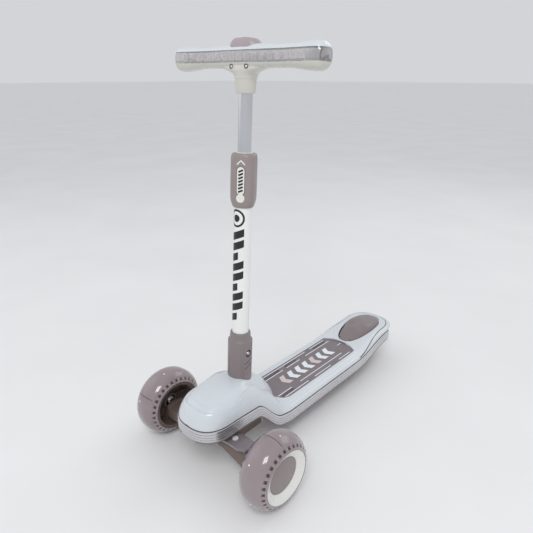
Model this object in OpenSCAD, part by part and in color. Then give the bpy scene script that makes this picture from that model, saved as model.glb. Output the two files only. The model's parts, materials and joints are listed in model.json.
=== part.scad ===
// Child's kick scooter: two front wheels on a lean-to-steer truck, one rear wheel under a foot
// brake, a lit deck and a height-adjustable T handlebar.
// Front is -Y, the rider's left is +X, up is +Z, and the ground is z = 0.

/* [Wheels] */
// Diameter of each front wheel
front_wheel_d = 120; // [112:1:124]
// Width of each front wheel
front_wheel_w = 54; // [52:1:56]
// Distance between the middles of the front wheels
track = 255; // [252:1:266]
// Diameter of the rear wheel
rear_wheel_d = 76; // [72:1:78]
// Width of the rear wheel
rear_wheel_w = 40; // [36:1:40]
// Diameter of the wheel axles
axle_d = 8; // [8:1:8]

/* [Deck] */
// Distance from the front axle to the rear axle
wheelbase = 462; // [455:1:470]
// How far the nose reaches in front of the front axle
nose_reach = 60; // [56:1:64]
// How far the tail reaches behind the rear axle
tail_reach = 54; // [52:1:56]
// Width of the deck where the foot stands
deck_w = 118; // [112:2:122]
// Width of the raised nose
nose_w = 94; // [90:2:98]
// Width of the cover under the stem
neck_w = 100; // [96:2:104]
// Height of the standing surface
stand_z = 70; // [68:1:72]
// Height of the flat on the hump where the stem collar sits
hump_z = 150; // [145:1:152]
// Height of the clear light strip round the deck
strip_h = 21; // [18:1:22]
// Wall thickness of the deck cover
cover_wall = 3; // [2.5:0.5:3.5]

/* [Steering] */
// Tilt of the kingpin from upright, top end forward
king_tilt = 35; // [30:1:40]
// Diameter of the kingpin
kingpin_d = 10; // [10:1:10]

/* [Stem] */
// Backward rake of the stem
rake = 3.2; // [2:0.2:5]
// Diameter of the outer stem tube
outer_tube_d = 27; // [26:0.5:28]
// Diameter of the inner stem tube
inner_tube_d = 19.6; // [19:0.2:20]
// Turn of the height clamp about the stem
clamp_turn = 30; // [0:5:45]

/* [Handlebar] */
// Length of the handlebar
bar_len = 272; // [260:2:290]
// Height of the handlebar's centre along the stem, from the stem's datum
bar_s = 531; // [500:1:560]
// Height of the handlebar's section
bar_h = 36; // [34:1:38]
// Depth of the handlebar's section
bar_d = 31; // [29:1:33]

/* [Hidden] */
$fn = 64;

// Colours
shell_white = [0.87, 0.89, 0.91];
taupe = [0.53, 0.47, 0.48];
dark_taupe = [0.38, 0.32, 0.30];
tyre_mauve = [0.63, 0.57, 0.58];
warm_white = [0.90, 0.90, 0.87];
clear = [0.80, 0.84, 0.88, 0.5];
steel = [0.75, 0.76, 0.78];
tube_white = [0.94, 0.94, 0.93];
ink = [0.06, 0.06, 0.07];
green = [0.10, 0.35, 0.20];

// Places along the scooter, front to back
strip_lip = 2.5;
length = nose_reach + wheelbase + tail_reach;
axle_y = nose_reach - length / 2;
rear_y = axle_y + wheelbase;
nose_y = axle_y - 8;
nose_len = nose_reach - strip_lip - 8;
nose_drop_y = axle_y + 48;
hump_front_y = axle_y + 26;
neck_y = axle_y + 76;
hump_back_y = axle_y + 48;
shoulder_y = axle_y + 130;
edge_flat_y = axle_y + 106;
hump_foot_y = axle_y + 128.5;
edge_foot_y = axle_y + 140;
kick_y = axle_y + 330;
taper_y = axle_y + 340;
tail_y = rear_y - 7;
tail_len = tail_reach + 7;
crown_flat_y = rear_y - 2;
kick_top_y = rear_y + 28;
strip_end_y = rear_y + 13;

// Heights
axle_z = front_wheel_d / 2;
rear_z = rear_wheel_d / 2;
nose_edge_z = 105;
deck_edge_z = stand_z - 10;
tail_edge_z = deck_edge_z + 18;
nose_crown_z = 138;
tail_crown_z = stand_z + 14;
tray_t = 3;
tray_top = deck_edge_z - strip_h;
insert_t = 4;
insert_drop = 0.6;
print_t = 0.5;
insert_half = 39.5;
insert_y = axle_y + 124;
insert_corner = 24;
hollow_r = 29.5;
hollow_y = hump_foot_y - hollow_r;

// Stem: a point on its axis, then lengths measured up from it
stem_y = axle_y + 54.8;
stem_datum_z = 100;
outer_r = outer_tube_d / 2;
inner_r = inner_tube_d / 2;
tube_wall = 1.8;
slide_fit = 0.06;
socket_s = -62;
tube_s = 10;
collar_s = 40;
button_s = 88;
collar_step_s = 110;
collar_top_s = 123;
collar_r = 20;
socket_r = 17;
inner_s = 185;
clamp_s = 327;
clamp_h = 78;
clamp_w = 36;
clamp_half = clamp_w / 2;
tube_top_s = clamp_s + 68;
lever_s = clamp_s + 58;
lever_y = clamp_half + 6;
lever_pin_r = 2.5;

// Kingpin: a point on its axis at the beam, then lengths measured along it
king_z = 58;
king_r = kingpin_d / 2;
hub_half = 9;
bushing_h = 5;
arm_t = hub_half + bushing_h + 0.3;
arm_h = 10;
mount_w = 34;
pocket_r = 32;

// Truck beam
beam_half = 112;
beam_d = 36;
beam_z0 = 38;
beam_z1 = 66;
beam_cap_h = 4;

// Front wheel, measured outward from its middle
tyre_half = front_wheel_w / 2;
core_r = 44;
web_z = 14;
rim_z = 18;
cap_r = 30;
bearing_r = 11;
bearing_w = 7;
boss_z = -8;
axle_r = axle_d / 2;
axle_fit = 0.04;

// Brake pedal
pedal_y = axle_y + 434;
pedal_half_len = 63;
pedal_half_w = 31;
pedal_egg = 3;
pedal_gap = 1.5;
pedal_t = 4;
shoe_z = stand_z + 10.2;
pin_y = axle_y + 384;
pin_z = 63;
pin_r = 3;
fork_x = rear_wheel_w / 2 + 3;
fork_t = 4;
fork_y = axle_y + 350;

// Handlebar, about its centre
lens_low = -6;
lens_high = 9;
socket_top = -bar_h / 2 + 2;
bar_neck = -45;

function smooth(t) = let (c = max(0, min(1, t))) c * c * (3 - 2 * c);
function ease(y, y0, y1, a, b) = a + (b - a) * smooth((y - y0) / (y1 - y0));

// Half the width of the deck cover, before its ends are rounded
function half_w(y) = y < neck_y ? ease(y, nose_y, neck_y, nose_w / 2, neck_w / 2)
    : y < taper_y ? ease(y, neck_y, shoulder_y, neck_w / 2, deck_w / 2)
    : ease(y, taper_y, tail_y, deck_w / 2, deck_w / 2 - 6);
// How far into a rounded end y lies, from 0 to 1
function end_t(y, inset) = y < nose_y ? (nose_y - y) / (nose_len - inset)
    : y > tail_y ? (y - tail_y) / (tail_len - inset) : 0;
// Half the width of the outline, moved in by inset
function outline_x(y, inset) =
    (half_w(y) - inset) * pow(max(0, 1 - pow(end_t(y, inset), 2.5)), 0.4);
// Height of the lower edge of the cover
function edge_z(y) = y < edge_foot_y
    ? ease(y, nose_drop_y, edge_flat_y, nose_edge_z, deck_edge_z)
    : ease(y, kick_y, kick_top_y, deck_edge_z, tail_edge_z);
// How far the hump's foot at x lies in front of its foot on the middle line
function foot_curve(x) = hollow_r - sqrt(pow(hollow_r, 2) - pow(min(abs(x), 0.9 * hollow_r), 2));
// Share of the hump's height left at y, where it falls in a dome to its foot
function dome(y) = pow(1 - pow(min(1, max(0, y - hump_back_y) / (hump_foot_y - hump_back_y)), 1.5), 0.65);
// Height of the cover's crown, before its ends are rounded
function crown_z(x, y) = y < hump_front_y
    ? ease(y, nose_y - nose_len, hump_front_y, nose_crown_z, hump_z)
    : y < hump_foot_y ? stand_z + (hump_z - stand_z) * dome(y + foot_curve(x))
    : ease(y, kick_y, crown_flat_y, stand_z, tail_crown_z);
// A dome over the nose and a flat top along the deck
function squareness(y) = ease(y, neck_y, shoulder_y, 3.2, 6);
function cover_z(x, y, inset) =
    let (u = abs(x) / (half_w(y) - inset),
        s = min(1, pow(pow(u, 2.5) + pow(end_t(y, inset), 2.5), 0.4)))
    edge_z(y) + (crown_z(x, y) - inset - edge_z(y)) * pow(1 - pow(s, squareness(y)), 0.6);

// Stations along the deck, close together where the outline bends
function stations(inset, y_end) = concat(
    [for (a = [88, 74, 58, 42, 26, 12]) nose_y - (nose_len - inset) * sin(a)],
    [for (i = [0 : 15]) nose_y + (hump_foot_y - nose_y) * i / 15],
    [edge_foot_y],
    [kick_y - 90],
    [for (i = [0 : 6]) kick_y + (tail_y - kick_y) * i / 6],
    [for (a = [18, 34, 48, 62, 76, 88]) let (y = tail_y + (tail_len - inset) * sin(a))
        if (y <= y_end) y]);

// Two triangles for each cell between rows of n points, from row i to row i + 1
function cells(i, n, flip, by) = [for (j = [0 : n - 2])
    let (a = i * n + j + by, b = a + 1, d = a + n, c = d + 1)
    each flip ? [[a, c, d], [a, b, c]] : [[a, d, c], [a, c, b]]];
// The same for a closed loop of four points
function tube_cells(i, flip) = [for (j = [0 : 3])
    let (a = i * 4 + j, b = i * 4 + (j + 1) % 4, d = a + 4, c = b + 4)
    each flip ? [[a, c, d], [a, b, c]] : [[a, d, c], [a, c, b]]];

// Open-bottomed shell over the whole deck
module cover_shell() {
    half = 8;
    n = 2 * half + 1;
    outer_y = stations(0, length);
    inner_y = stations(cover_wall, length);
    last = len(outer_y) - 1;
    count = len(outer_y) * n;
    points = [for (skin = [[outer_y, 0], [inner_y, cover_wall]], y = skin[0], j = [-half : half])
        let (x = outline_x(y, skin[1]) * sin(90 * j / half)) [x, y, cover_z(x, y, skin[1])]];
    sheets = [for (i = [0 : last - 1])
        each concat(cells(i, n, false, 0), cells(i, n, true, count))];
    sides = [for (i = [0 : last - 1])
        let (a = i * n, d = a + n, b = a + n - 1, c = d + n - 1)
        each [[d, a, a + count], [d, a + count, d + count],
            [b, c, c + count], [b, c + count, b + count]]];
    ends = [for (a = [0 : n - 2])
        let (b = a + 1, d = last * n + a, c = d + 1)
        each [[a, b, b + count], [a, b + count, a + count],
            [c, d, d + count], [c, d + count, c + count]]];
    polyhedron(points = points, faces = concat(sheets, sides, ends));
}

// Slab that follows the deck's outline, from low to high above the cover's edge
module deck_slab(inset, low, high) {
    ys = stations(inset, length);
    last = len(ys) - 1;
    points = [for (y = ys) let (x = outline_x(y, inset), z = edge_z(y))
        each [[-x, y, z + low], [-x, y, z + high], [x, y, z + high], [x, y, z + low]]];
    skin = [for (i = [0 : last - 1]) each tube_cells(i, false)];
    e = last * 4;
    caps = [[0, 1, 2], [0, 2, 3], [e, e + 2, e + 1], [e, e + 3, e + 2]];
    polyhedron(points = points, faces = concat(skin, caps));
}

// Upright band round the outline from one side of the tail, past the nose, to the other
module deck_band(inset, wall, low, high) {
    outer_y = stations(inset, strip_end_y);
    inner_y = stations(inset + wall, strip_end_y);
    n = len(outer_y);
    function ring(side, i) = [
        for (p = [[outer_y[i], inset, low], [outer_y[i], inset, high],
            [inner_y[i], inset + wall, high], [inner_y[i], inset + wall, low]])
        [side * outline_x(p[0], p[1]), p[0], edge_z(p[0]) + p[2]]];
    points = concat([for (i = [n - 1 : -1 : 0]) each ring(-1, i)],
        [for (i = [0 : n - 1]) each ring(1, i)]);
    skin = [for (i = [0 : 2 * n - 2]) each tube_cells(i, true)];
    e = (2 * n - 1) * 4;
    caps = [[0, 2, 1], [0, 3, 2], [e, e + 1, e + 2], [e, e + 2, e + 3]];
    polyhedron(points = points, faces = concat(skin, caps));
}

module on_stem(s) {
    translate([0, stem_y, stem_datum_z]) rotate([-rake, 0, 0]) translate([0, 0, s]) children();
}
module on_clamp(s) { on_stem(s) rotate([0, 0, clamp_turn]) children(); }
module on_kingpin(t) {
    translate([0, axle_y, king_z]) rotate([king_tilt, 0, 0]) translate([0, 0, t]) children();
}
module on_front_wheel(side) {
    translate([side * track / 2, axle_y, axle_z]) rotate([0, side * 90, 0]) children();
}
module on_rear_wheel() { translate([0, rear_y, rear_z]) rotate([0, 90, 0]) children(); }
module pipe(h, r, hole) {
    difference() {
        cylinder(h = h, r = r);
        translate([0, 0, -1]) cylinder(h = h + 2, r = hole);
    }
}
// Rod along X, centred
module cross_rod(len, r) { rotate([0, 90, 0]) cylinder(h = len, r = r, center = true); }
// Side-view outline given width along X
module side_plate(w) { rotate([90, 0, 90]) linear_extrude(w, center = true) children(); }
module round_rect(w, h, r) {
    square([w - 2 * r, h], center = true);
    square([w, h - 2 * r], center = true);
    for (x = [-1, 1], y = [-1, 1]) translate([x * (w / 2 - r), y * (h / 2 - r)]) circle(r = r);
}

// Plan of the grip insert: round corners and a hollow for the hump in front, rounded at the back
module insert_plan() {
    straight = 2 * (insert_half - insert_corner);
    difference() {
        intersection() {
            union() {
                for (side = [-1, 1])
                    translate([side * straight / 2, insert_y + insert_corner]) circle(r = insert_corner);
                translate([-straight / 2, insert_y]) square([straight, insert_corner]);
                translate([-insert_half, insert_y + insert_corner]) square([2 * insert_half, 220]);
            }
            union() {
                translate([-45, insert_y]) square([90, 176]);
                translate([0, axle_y + 300.5]) circle(r = 66.5);
            }
        }
        translate([0, hollow_y]) circle(r = hollow_r);
    }
}
// Egg-shaped plan of the brake pedal
module pedal_plan(grow) {
    polygon([for (a = [0 : 10 : 350])
        [(pedal_half_w - pedal_egg * cos(a) + grow) * sign(sin(a)) * pow(abs(sin(a)), 0.8),
         pedal_y - (pedal_half_len + grow) * cos(a)]]);
}

// Deck ------------------------------------------------------------------------------------

module deck_cover() {
    color(shell_white) difference() {
        cover_shell();
        translate([0, 0, stand_z - 15]) linear_extrude(30) insert_plan();
        translate([0, 0, stand_z - 15]) linear_extrude(60) pedal_plan(pedal_gap);
        on_stem(0) cylinder(h = 100, r = collar_r);
    }
}

module grip_insert() {
    color(taupe) translate([0, 0, stand_z - insert_t]) difference() {
        linear_extrude(insert_t - insert_drop) insert_plan();
        translate([0, 0, insert_t - insert_drop - print_t]) linear_extrude(1) {
            line_plan();
            mark_plan();
        }
    }
}

// Broken side lines of the insert, with ladders of short crossbars between them
module line_plan() {
    module line(x, d0, d1) { translate([x - 0.8, axle_y + d0]) square([1.6, d1 - d0]); }
    module ladder(x, d0, d1) {
        for (d = [d0 : 6.8 : d1 - 1.7]) translate([x - 3, axle_y + d]) square([6, 1.7]);
    }
    for (run = [[138, 205], [225, 277], [306, 345]]) line(34.6, run[0], run[1]);
    for (run = [[129, 168], [193, 330]]) line(24.2, run[0], run[1]);
    for (run = [[138, 281], [298, 346]]) line(-34.6, run[0], run[1]);
    for (run = [[129, 199], [211, 252], [271, 352]]) line(-24.2, run[0], run[1]);
    ladder(29.4, 133, 168);
    for (run = [[133, 196], [211, 245], [303, 345]]) ladder(-29.4, run[0], run[1]);
}
// Seven chevrons that point forward
module mark_plan() {
    for (i = [0 : 6]) translate([0, axle_y + 168 + 22.8 * i])
        polygon([[-13, 7], [0, 0], [13, 7], [13, 19], [0, 12], [-13, 19]]);
}

module deck_lines() {
    color("white") translate([0, 0, stand_z - insert_drop - print_t])
        linear_extrude(print_t) line_plan();
}

module deck_marks() {
    color(shell_white) translate([0, 0, stand_z - insert_drop - print_t])
        linear_extrude(print_t) mark_plan();
}

module light_strip() { color(clear) deck_band(-strip_lip, 3, -strip_h, 0); }

// Floor pan with ribs under the standing plate
module deck_tray() {
    color(taupe) {
        difference() {
            deck_slab(-1, -strip_h - tray_t, -strip_h);
            translate([-mount_w / 2, axle_y - 70, 0]) cube([mount_w, 164, 140]);
            translate([-fork_x - fork_t, fork_y, 0]) cube([2 * (fork_x + fork_t), 200, 140]);
            translate([-100, strip_end_y - 1, 0]) cube([200, 100, 140]);
            translate([-20, axle_y + 178, 0]) cube([40, 124, 60]);
        }
        for (side = [-1, 1])
            translate([side * 30 - 1.5, axle_y + 160, tray_top])
                cube([3, 180, stand_z - insert_t - tray_top]);
    }
}

module tray_screws() {
    color(steel) for (side = [-1, 1], y = [130, 230, 330])
        translate([side * 48, axle_y + y, tray_top - tray_t - 1.2]) cylinder(h = 1.2, r = 3.5);
}

module battery_box() {
    color(dark_taupe) translate([-20, axle_y + 178, tray_top - tray_t + 2]) difference() {
        cube([40, 124, 22]);
        translate([2, 2, -1]) cube([36, 120, 21]);
    }
}

module battery_cells() {
    color(steel) for (x = [-8.5, 8.5], i = [0, 1])
        translate([x, axle_y + 188.5 + i * 51.5, tray_top + 8]) rotate([-90, 0, 0]) {
            cylinder(h = 49, r = 7.1);
            cylinder(h = 50.5, r = 2.7);
        }
}

module battery_door() {
    color(taupe) translate([-20, axle_y + 178, tray_top - tray_t]) cube([40, 124, 2]);
}

module control_board() {
    color(green) translate([-22, axle_y + 304, tray_top]) cube([44, 24, 1.6]);
    color(ink) translate([-8, axle_y + 309, tray_top + 1.6]) cube([16, 14, 2]);
}

// Rear fork, joined in front of the wheel, with bores for the axle and the pedal's pin
module rear_bracket() {
    color(dark_taupe) {
        for (side = [-1, 1]) translate([side * (fork_x + fork_t / 2), 0, 0]) side_plate(fork_t)
            difference() {
                union() {
                    translate([rear_y, rear_z]) circle(r = 14);
                    translate([fork_y, tray_top - tray_t]) square([rear_y - fork_y, 17]);
                    translate([pin_y - 10, rear_z]) square([20, pin_z + 7 - rear_z]);
                }
                translate([rear_y, rear_z]) circle(r = axle_r);
                translate([pin_y, pin_z]) circle(r = pin_r);
            }
        translate([-fork_x, fork_y, tray_top - tray_t]) cube([2 * fork_x, 22, 14]);
    }
}

module rear_axle() {
    reach = fork_x + fork_t;
    color(steel) on_rear_wheel() {
        cylinder(h = 2 * reach, r = axle_r, center = true);
        for (side = [-1, 1])
            translate([0, 0, side * (reach + 2)]) cylinder(h = 4, r = 6.5, center = true);
    }
}

module brake_pin() {
    color(steel) translate([0, pin_y, pin_z]) cross_rod(2 * (fork_x + fork_t), pin_r);
}

// Steering --------------------------------------------------------------------------------

// Chassis block: socket bore for the stem, and two arms that hold the kingpin
module steer_mount() {
    color(dark_taupe) difference() {
        side_plate(mount_w) translate([axle_y, 0])
            polygon([[6, 31], [92, 31], [92, 62], [78, 116], [34, 116], [-22, 96], [-30, 88],
                [-30, 72], [-20, 57], [6, 52]]);
        on_kingpin(-60) cylinder(h = 120, r = king_r);
        on_kingpin(-arm_t) cylinder(h = 2 * arm_t, r = pocket_r);
        on_kingpin(arm_t + arm_h) cylinder(h = 14, r = 9);
        on_stem(-100) cylinder(h = 200, r = socket_r);
    }
}

module kingpin() {
    color(steel) {
        on_kingpin(-arm_t - arm_h) cylinder(h = 2 * (arm_t + arm_h), r = king_r);
        on_kingpin(-arm_t - arm_h - 4) cylinder(h = 4, r = 7.5);
        on_kingpin(arm_t + arm_h) cylinder(h = 6, r = 7.5);
    }
}

module beam_section() {
    translate([axle_y, (beam_z0 + beam_z1) / 2]) round_rect(beam_d, beam_z1 - beam_z0, 9);
}

module truck_beam() {
    color(dark_taupe) difference() {
        union() {
            difference() {
                side_plate(2 * beam_half) beam_section();
                for (t = [hub_half, -hub_half - 60]) on_kingpin(t) cylinder(h = 60, r = 30);
            }
            on_kingpin(-hub_half) cylinder(h = 2 * hub_half, r = 15);
        }
        on_kingpin(-60) cylinder(h = 120, r = king_r + axle_fit);
        for (side = [-1, 1]) on_front_wheel(side) translate([0, 0, -60]) cylinder(h = 60, r = axle_r);
    }
}

module beam_cap(side) {
    color(taupe) translate([side * 54, axle_y, beam_z1]) difference() {
        linear_extrude(beam_cap_h) round_rect(48, 31, 6);
        translate([-side * 8, 0, -1]) cylinder(h = 10, r = 3);
    }
}
module left_beam_cap() { beam_cap(1); }
module right_beam_cap() { beam_cap(-1); }

module beam_rivets() {
    color(steel) for (side = [-1, 1]) translate([side * 46, axle_y, beam_z1]) {
        cylinder(h = beam_cap_h + 0.6, r = 3);
        translate([0, 0, beam_cap_h]) cylinder(h = 1.2, r = 5);
    }
}

// Rubber rings that carry the hub between the arms
module steer_bushings() {
    color(ink) for (t = [hub_half, -hub_half - bushing_h]) on_kingpin(t)
        pipe(bushing_h, 12, king_r + axle_fit);
}

// Stub axle with a shoulder, from the beam to the nut outside the outer bearing
module stub_axle(side) {
    color(steel) on_front_wheel(side) {
        translate([0, 0, -60]) cylinder(h = 60 + web_z + 3, r = axle_r);
        translate([0, 0, beam_half - track / 2])
            cylinder(h = boss_z - 0.4 - beam_half + track / 2, r = 6.5);
        translate([0, 0, web_z + 0.4]) cylinder(h = 3, r = 7);
    }
}
module left_axle() { stub_axle(1); }
module right_axle() { stub_axle(-1); }

// Front wheels ----------------------------------------------------------------------------

function tread_r(t) = front_wheel_d / 2 * (1 - 0.22 * pow(abs(t), 2.5));

module front_tyre(side) {
    color(tyre_mauve) on_front_wheel(side) rotate_extrude()
        polygon(concat([for (i = [-8 : 8]) [tread_r(i / 8), tyre_half * i / 8]],
            [[core_r, tyre_half], [core_r, -tyre_half]]));
}
module left_tyre() { front_tyre(1); }
module right_tyre() { front_tyre(-1); }

// Core: outer ring, web and boss, open towards the middle of the scooter
module wheel_core(side) {
    color(dark_taupe) on_front_wheel(side) rotate_extrude() polygon([
        [9, boss_z + bearing_w], [bearing_r, boss_z + bearing_w], [bearing_r, boss_z], [15, boss_z],
        [15, 2], [36, 2], [38, -tyre_half + 1], [core_r, -tyre_half + 1], [core_r, rim_z],
        [cap_r, rim_z], [cap_r, web_z], [bearing_r, web_z], [bearing_r, web_z - bearing_w],
        [9, web_z - bearing_w]]);
}
module left_core() { wheel_core(1); }
module right_core() { wheel_core(-1); }

module rim_ring(side) {
    color(warm_white) on_front_wheel(side) rotate_extrude() polygon([
        [cap_r, rim_z], [core_r, rim_z], [core_r, tyre_half - 1.6], [cap_r, rim_z + 2]]);
}
module left_rim_ring() { rim_ring(1); }
module right_rim_ring() { rim_ring(-1); }

module hub_cap(side) {
    color(taupe) on_front_wheel(side) translate([0, 0, web_z]) difference() {
        cylinder(h = 6, r = cap_r);
        translate([0, 0, -1]) cylinder(h = 5.5, r = 13);
    }
}
module left_hub_cap() { hub_cap(1); }
module right_hub_cap() { hub_cap(-1); }

// Two bearings and the sleeve between them
module front_bearings(side) {
    color(steel) on_front_wheel(side) {
        translate([0, 0, boss_z]) pipe(bearing_w, bearing_r, axle_r + axle_fit);
        translate([0, 0, boss_z + bearing_w])
            pipe(web_z - boss_z - 2 * bearing_w, axle_r + 2, axle_r + axle_fit);
        translate([0, 0, web_z - bearing_w]) pipe(bearing_w, bearing_r, axle_r + axle_fit);
    }
}
module left_bearings() { front_bearings(1); }
module right_bearings() { front_bearings(-1); }

// Rear wheel ------------------------------------------------------------------------------

module rear_tyre() {
    half = rear_wheel_w / 2;
    color(tyre_mauve) on_rear_wheel() rotate_extrude()
        polygon(concat([for (i = [-6 : 6])
            [rear_wheel_d / 2 * (1 - 0.14 * pow(abs(i / 6), 2.5)), half * i / 6]],
            [[26, half], [26, -half]]));
}

module rear_core() {
    half = rear_wheel_w / 2;
    color(dark_taupe) on_rear_wheel() rotate_extrude() polygon([
        [9, -half + bearing_w], [bearing_r, -half + bearing_w], [bearing_r, -half], [26, -half],
        [26, half], [bearing_r, half], [bearing_r, half - bearing_w], [9, half - bearing_w]]);
}

module rear_bearings() {
    half = rear_wheel_w / 2;
    color(steel) on_rear_wheel() {
        for (z = [-half, half - bearing_w])
            translate([0, 0, z]) pipe(bearing_w, bearing_r, axle_r + axle_fit);
        translate([0, 0, -half + bearing_w])
            pipe(2 * half - 2 * bearing_w, axle_r + 2, axle_r + axle_fit);
    }
}

// Brake -----------------------------------------------------------------------------------

function pedal_z(y) = y < pedal_y + 14
    ? ease(y, pedal_y - pedal_half_len - 10, pedal_y + 14, stand_z + 2, stand_z + 19)
    : ease(y, pedal_y + 14, pedal_y + pedal_half_len, stand_z + 19, stand_z + 15);

// Side view of the pedal's curved plate
module pedal_section() {
    ys = [for (i = [-7 : 7]) pedal_y + pedal_half_len * i / 7];
    polygon(concat([for (y = ys) [y, pedal_z(y)]],
        [for (i = [14 : -1 : 0]) [ys[i], pedal_z(ys[i]) - pedal_t]]));
}

module brake_pedal() {
    color(taupe) difference() {
        union() {
            intersection() {
                linear_extrude(120) pedal_plan(0);
                side_plate(90) pedal_section();
            }
            for (side = [-1, 1]) translate([side * 12, pin_y, pin_z]) {
                cross_rod(6, 6);
                translate([-3, -4, 0]) cube([6, 8, 8.5]);
            }
        }
        translate([0, pin_y, pin_z]) cross_rod(60, pin_r + axle_fit);
    }
}

// Friction block over the top of the rear wheel, shaped to the pedal's underside
module brake_shoe() {
    color(ink) side_plate(30) difference() {
        translate([rear_y - 12, shoe_z]) square([24, pedal_t + 1]);
        pedal_section();
    }
}

// Stem ------------------------------------------------------------------------------------

module stem_collar() {
    color(taupe) difference() {
        on_stem(0) rotate_extrude() polygon([
            [outer_r, collar_s], [collar_r, collar_s], [collar_r, collar_step_s - 1.5],
            [collar_r - 1.5, collar_step_s], [17.2, collar_step_s], [16.6, collar_step_s + 2],
            [16.4, collar_top_s - 2], [15, collar_top_s], [outer_r, collar_top_s]]);
        on_stem(button_s) rotate([0, 90, 0]) cylinder(h = 40, r = 4.05);
    }
}

module stem_socket() {
    color(steel) on_stem(socket_s) pipe(collar_s - socket_s, socket_r, outer_r);
}

module stem_tube() {
    color(tube_white) difference() {
        on_stem(tube_s) pipe(tube_top_s - tube_s, outer_r, outer_r - tube_wall);
        on_stem(button_s) rotate([0, 90, 0]) cylinder(h = 40, r = 4.05);
    }
}

// Printed film round the front of the tube
module tube_decals() {
    color(ink) on_stem(0) for (s = [137, 165, 193, 221, 249, 277]) translate([0, 0, s])
        rotate([0, 0, -90 - 55]) rotate_extrude(angle = 110)
            translate([outer_r, 0]) square([0.2, 14]);
}

module clamp_housing() {
    color(taupe) on_clamp(clamp_s) difference() {
        union() {
            intersection() {
                linear_extrude(clamp_h) round_rect(clamp_w, clamp_w, 12);
                rotate_extrude() polygon([[0, 0], [18, 0], [21, 6], [21, clamp_h - 6], [17, clamp_h],
                    [0, clamp_h]]);
            }
            for (side = [-1, 1]) translate([side * 8.5, 0, lever_s - clamp_s]) {
                translate([0, lever_y, 0]) cross_rod(5, 5);
                translate([-2.5, clamp_half - 3, -5]) cube([5, lever_y - clamp_half + 3, 10]);
            }
        }
        translate([0, 0, -1]) cylinder(h = tube_top_s - clamp_s + 1, r = outer_r);
        cylinder(h = clamp_h + 1, r = outer_r - tube_wall);
        translate([0, lever_y, lever_s - clamp_s]) cross_rod(40, lever_pin_r);
    }
}

// Chevron, pill and disc on the face of the clamp
module clamp_badge() {
    color(warm_white) on_clamp(clamp_s) translate([0, -clamp_half, 0]) rotate([90, 0, 0])
        linear_extrude(0.8) {
        translate([0, 42]) round_rect(10, 34, 4.9);
        translate([0, 17]) circle(r = 6);
        polygon([[-5, 61], [0, 66], [5, 61], [5, 64], [0, 69], [-5, 64]]);
    }
}

module guide_bush() {
    color(warm_white) on_stem(clamp_s + 12) {
        pipe(clamp_h - 12, outer_r - tube_wall, inner_r + slide_fit);
        translate([0, 0, clamp_h - 12]) pipe(1.5, outer_r - 0.5, inner_r + slide_fit);
    }
}

module lever_pin() {
    color(steel) on_clamp(lever_s) translate([0, lever_y, 0]) cross_rod(22, lever_pin_r);
}

module lock_lever() {
    color(dark_taupe) on_clamp(lever_s) translate([0, lever_y, 0]) difference() {
        union() {
            cross_rod(11.4, 5);
            translate([-5.7, -3, -12]) cube([11.4, 7, 12]);
            translate([-11, -2.5, -50]) cube([22, 6.5, 42.5]);
        }
        cross_rod(60, lever_pin_r + 0.05);
    }
}

module snap_button() {
    color(steel) on_stem(button_s) rotate([0, 90, 0]) {
        translate([0, 0, 12]) cylinder(h = 8.5, r = 4);
        translate([0, 0, 9.5]) cylinder(h = 0.6, r = 4.6);
        translate([0, 0, 9.5]) cylinder(h = 3, r = 4);
    }
}

// Handlebar -------------------------------------------------------------------------------

module inner_tube() {
    color(steel) on_stem(inner_s) pipe(bar_s + socket_top - inner_s + 8, inner_r, inner_r - 1.5);
}

module bar_plan(inset) { round_rect(bar_len - 2 * inset, bar_d - 2 * inset, bar_d / 2 - 2 - inset); }
// Slice of the handlebar between two heights
module bar_slice(low, high) {
    intersection() {
        rotate([90, 0, 90]) linear_extrude(bar_len, center = true) round_rect(bar_d, bar_h, 13);
        translate([0, 0, low]) linear_extrude(high - low) bar_plan(0);
    }
}

module bar_upper() {
    color(shell_white) on_stem(bar_s) difference() {
        bar_slice(lens_high, bar_h / 2 + 1);
        translate([0, 0, lens_high - 1]) linear_extrude(bar_h / 2 - lens_high - 2) bar_plan(6);
        cylinder(h = 40, r = 8.6);
    }
}

module bar_lens() {
    color(clear) on_stem(bar_s) difference() {
        bar_slice(lens_low, lens_high);
        translate([0, 0, lens_low - 1]) linear_extrude(lens_high - lens_low + 2) bar_plan(3);
    }
}

module bar_lower() {
    color(shell_white) on_stem(bar_s) difference() {
        union() {
            bar_slice(-bar_h / 2 - 1, lens_low);
            translate([0, 0, bar_neck]) cylinder(h = socket_top - bar_neck, r1 = 13.5, r2 = 15);
        }
        translate([0, 0, bar_neck - 1]) cylinder(h = socket_top + 8 - bar_neck + 1, r = inner_r);
        for (x = [-14, 14]) translate([x, 0, -11]) rotate([90, 0, 0]) cylinder(h = 30, r = 3);
    }
}

module bar_leds() {
    color(green) on_stem(bar_s + lens_low) translate([-115, -7, 0]) cube([230, 14, 1.6]);
    color(warm_white) on_stem(bar_s + lens_low + 1.6) for (i = [-5 : 5])
        translate([i * 21 - 2.5, -2.5, 0]) cube([5, 5, 1.4]);
}

module bar_screws() {
    color(steel) on_stem(bar_s - 11) for (x = [-14, 14])
        translate([x, 0, 0]) rotate([90, 0, 0]) cylinder(h = 14, r = 3);
}

module bar_cap() {
    color(taupe) on_stem(bar_s) difference() {
        intersection() {
            translate([0, 0, bar_h / 2]) linear_extrude(6) round_rect(50, 24, 10);
            translate([0, 0, bar_h / 2 - 50]) rotate([90, 0, 0]) cylinder(h = 60, r = 56, center = true);
        }
        cylinder(h = 60, r = 8.6);
    }
}

// Round push switch in the middle of the cap
module light_button() {
    color(warm_white) on_stem(bar_s + bar_h / 2 - 2) cylinder(h = 9.5, r = 8);
}

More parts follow.
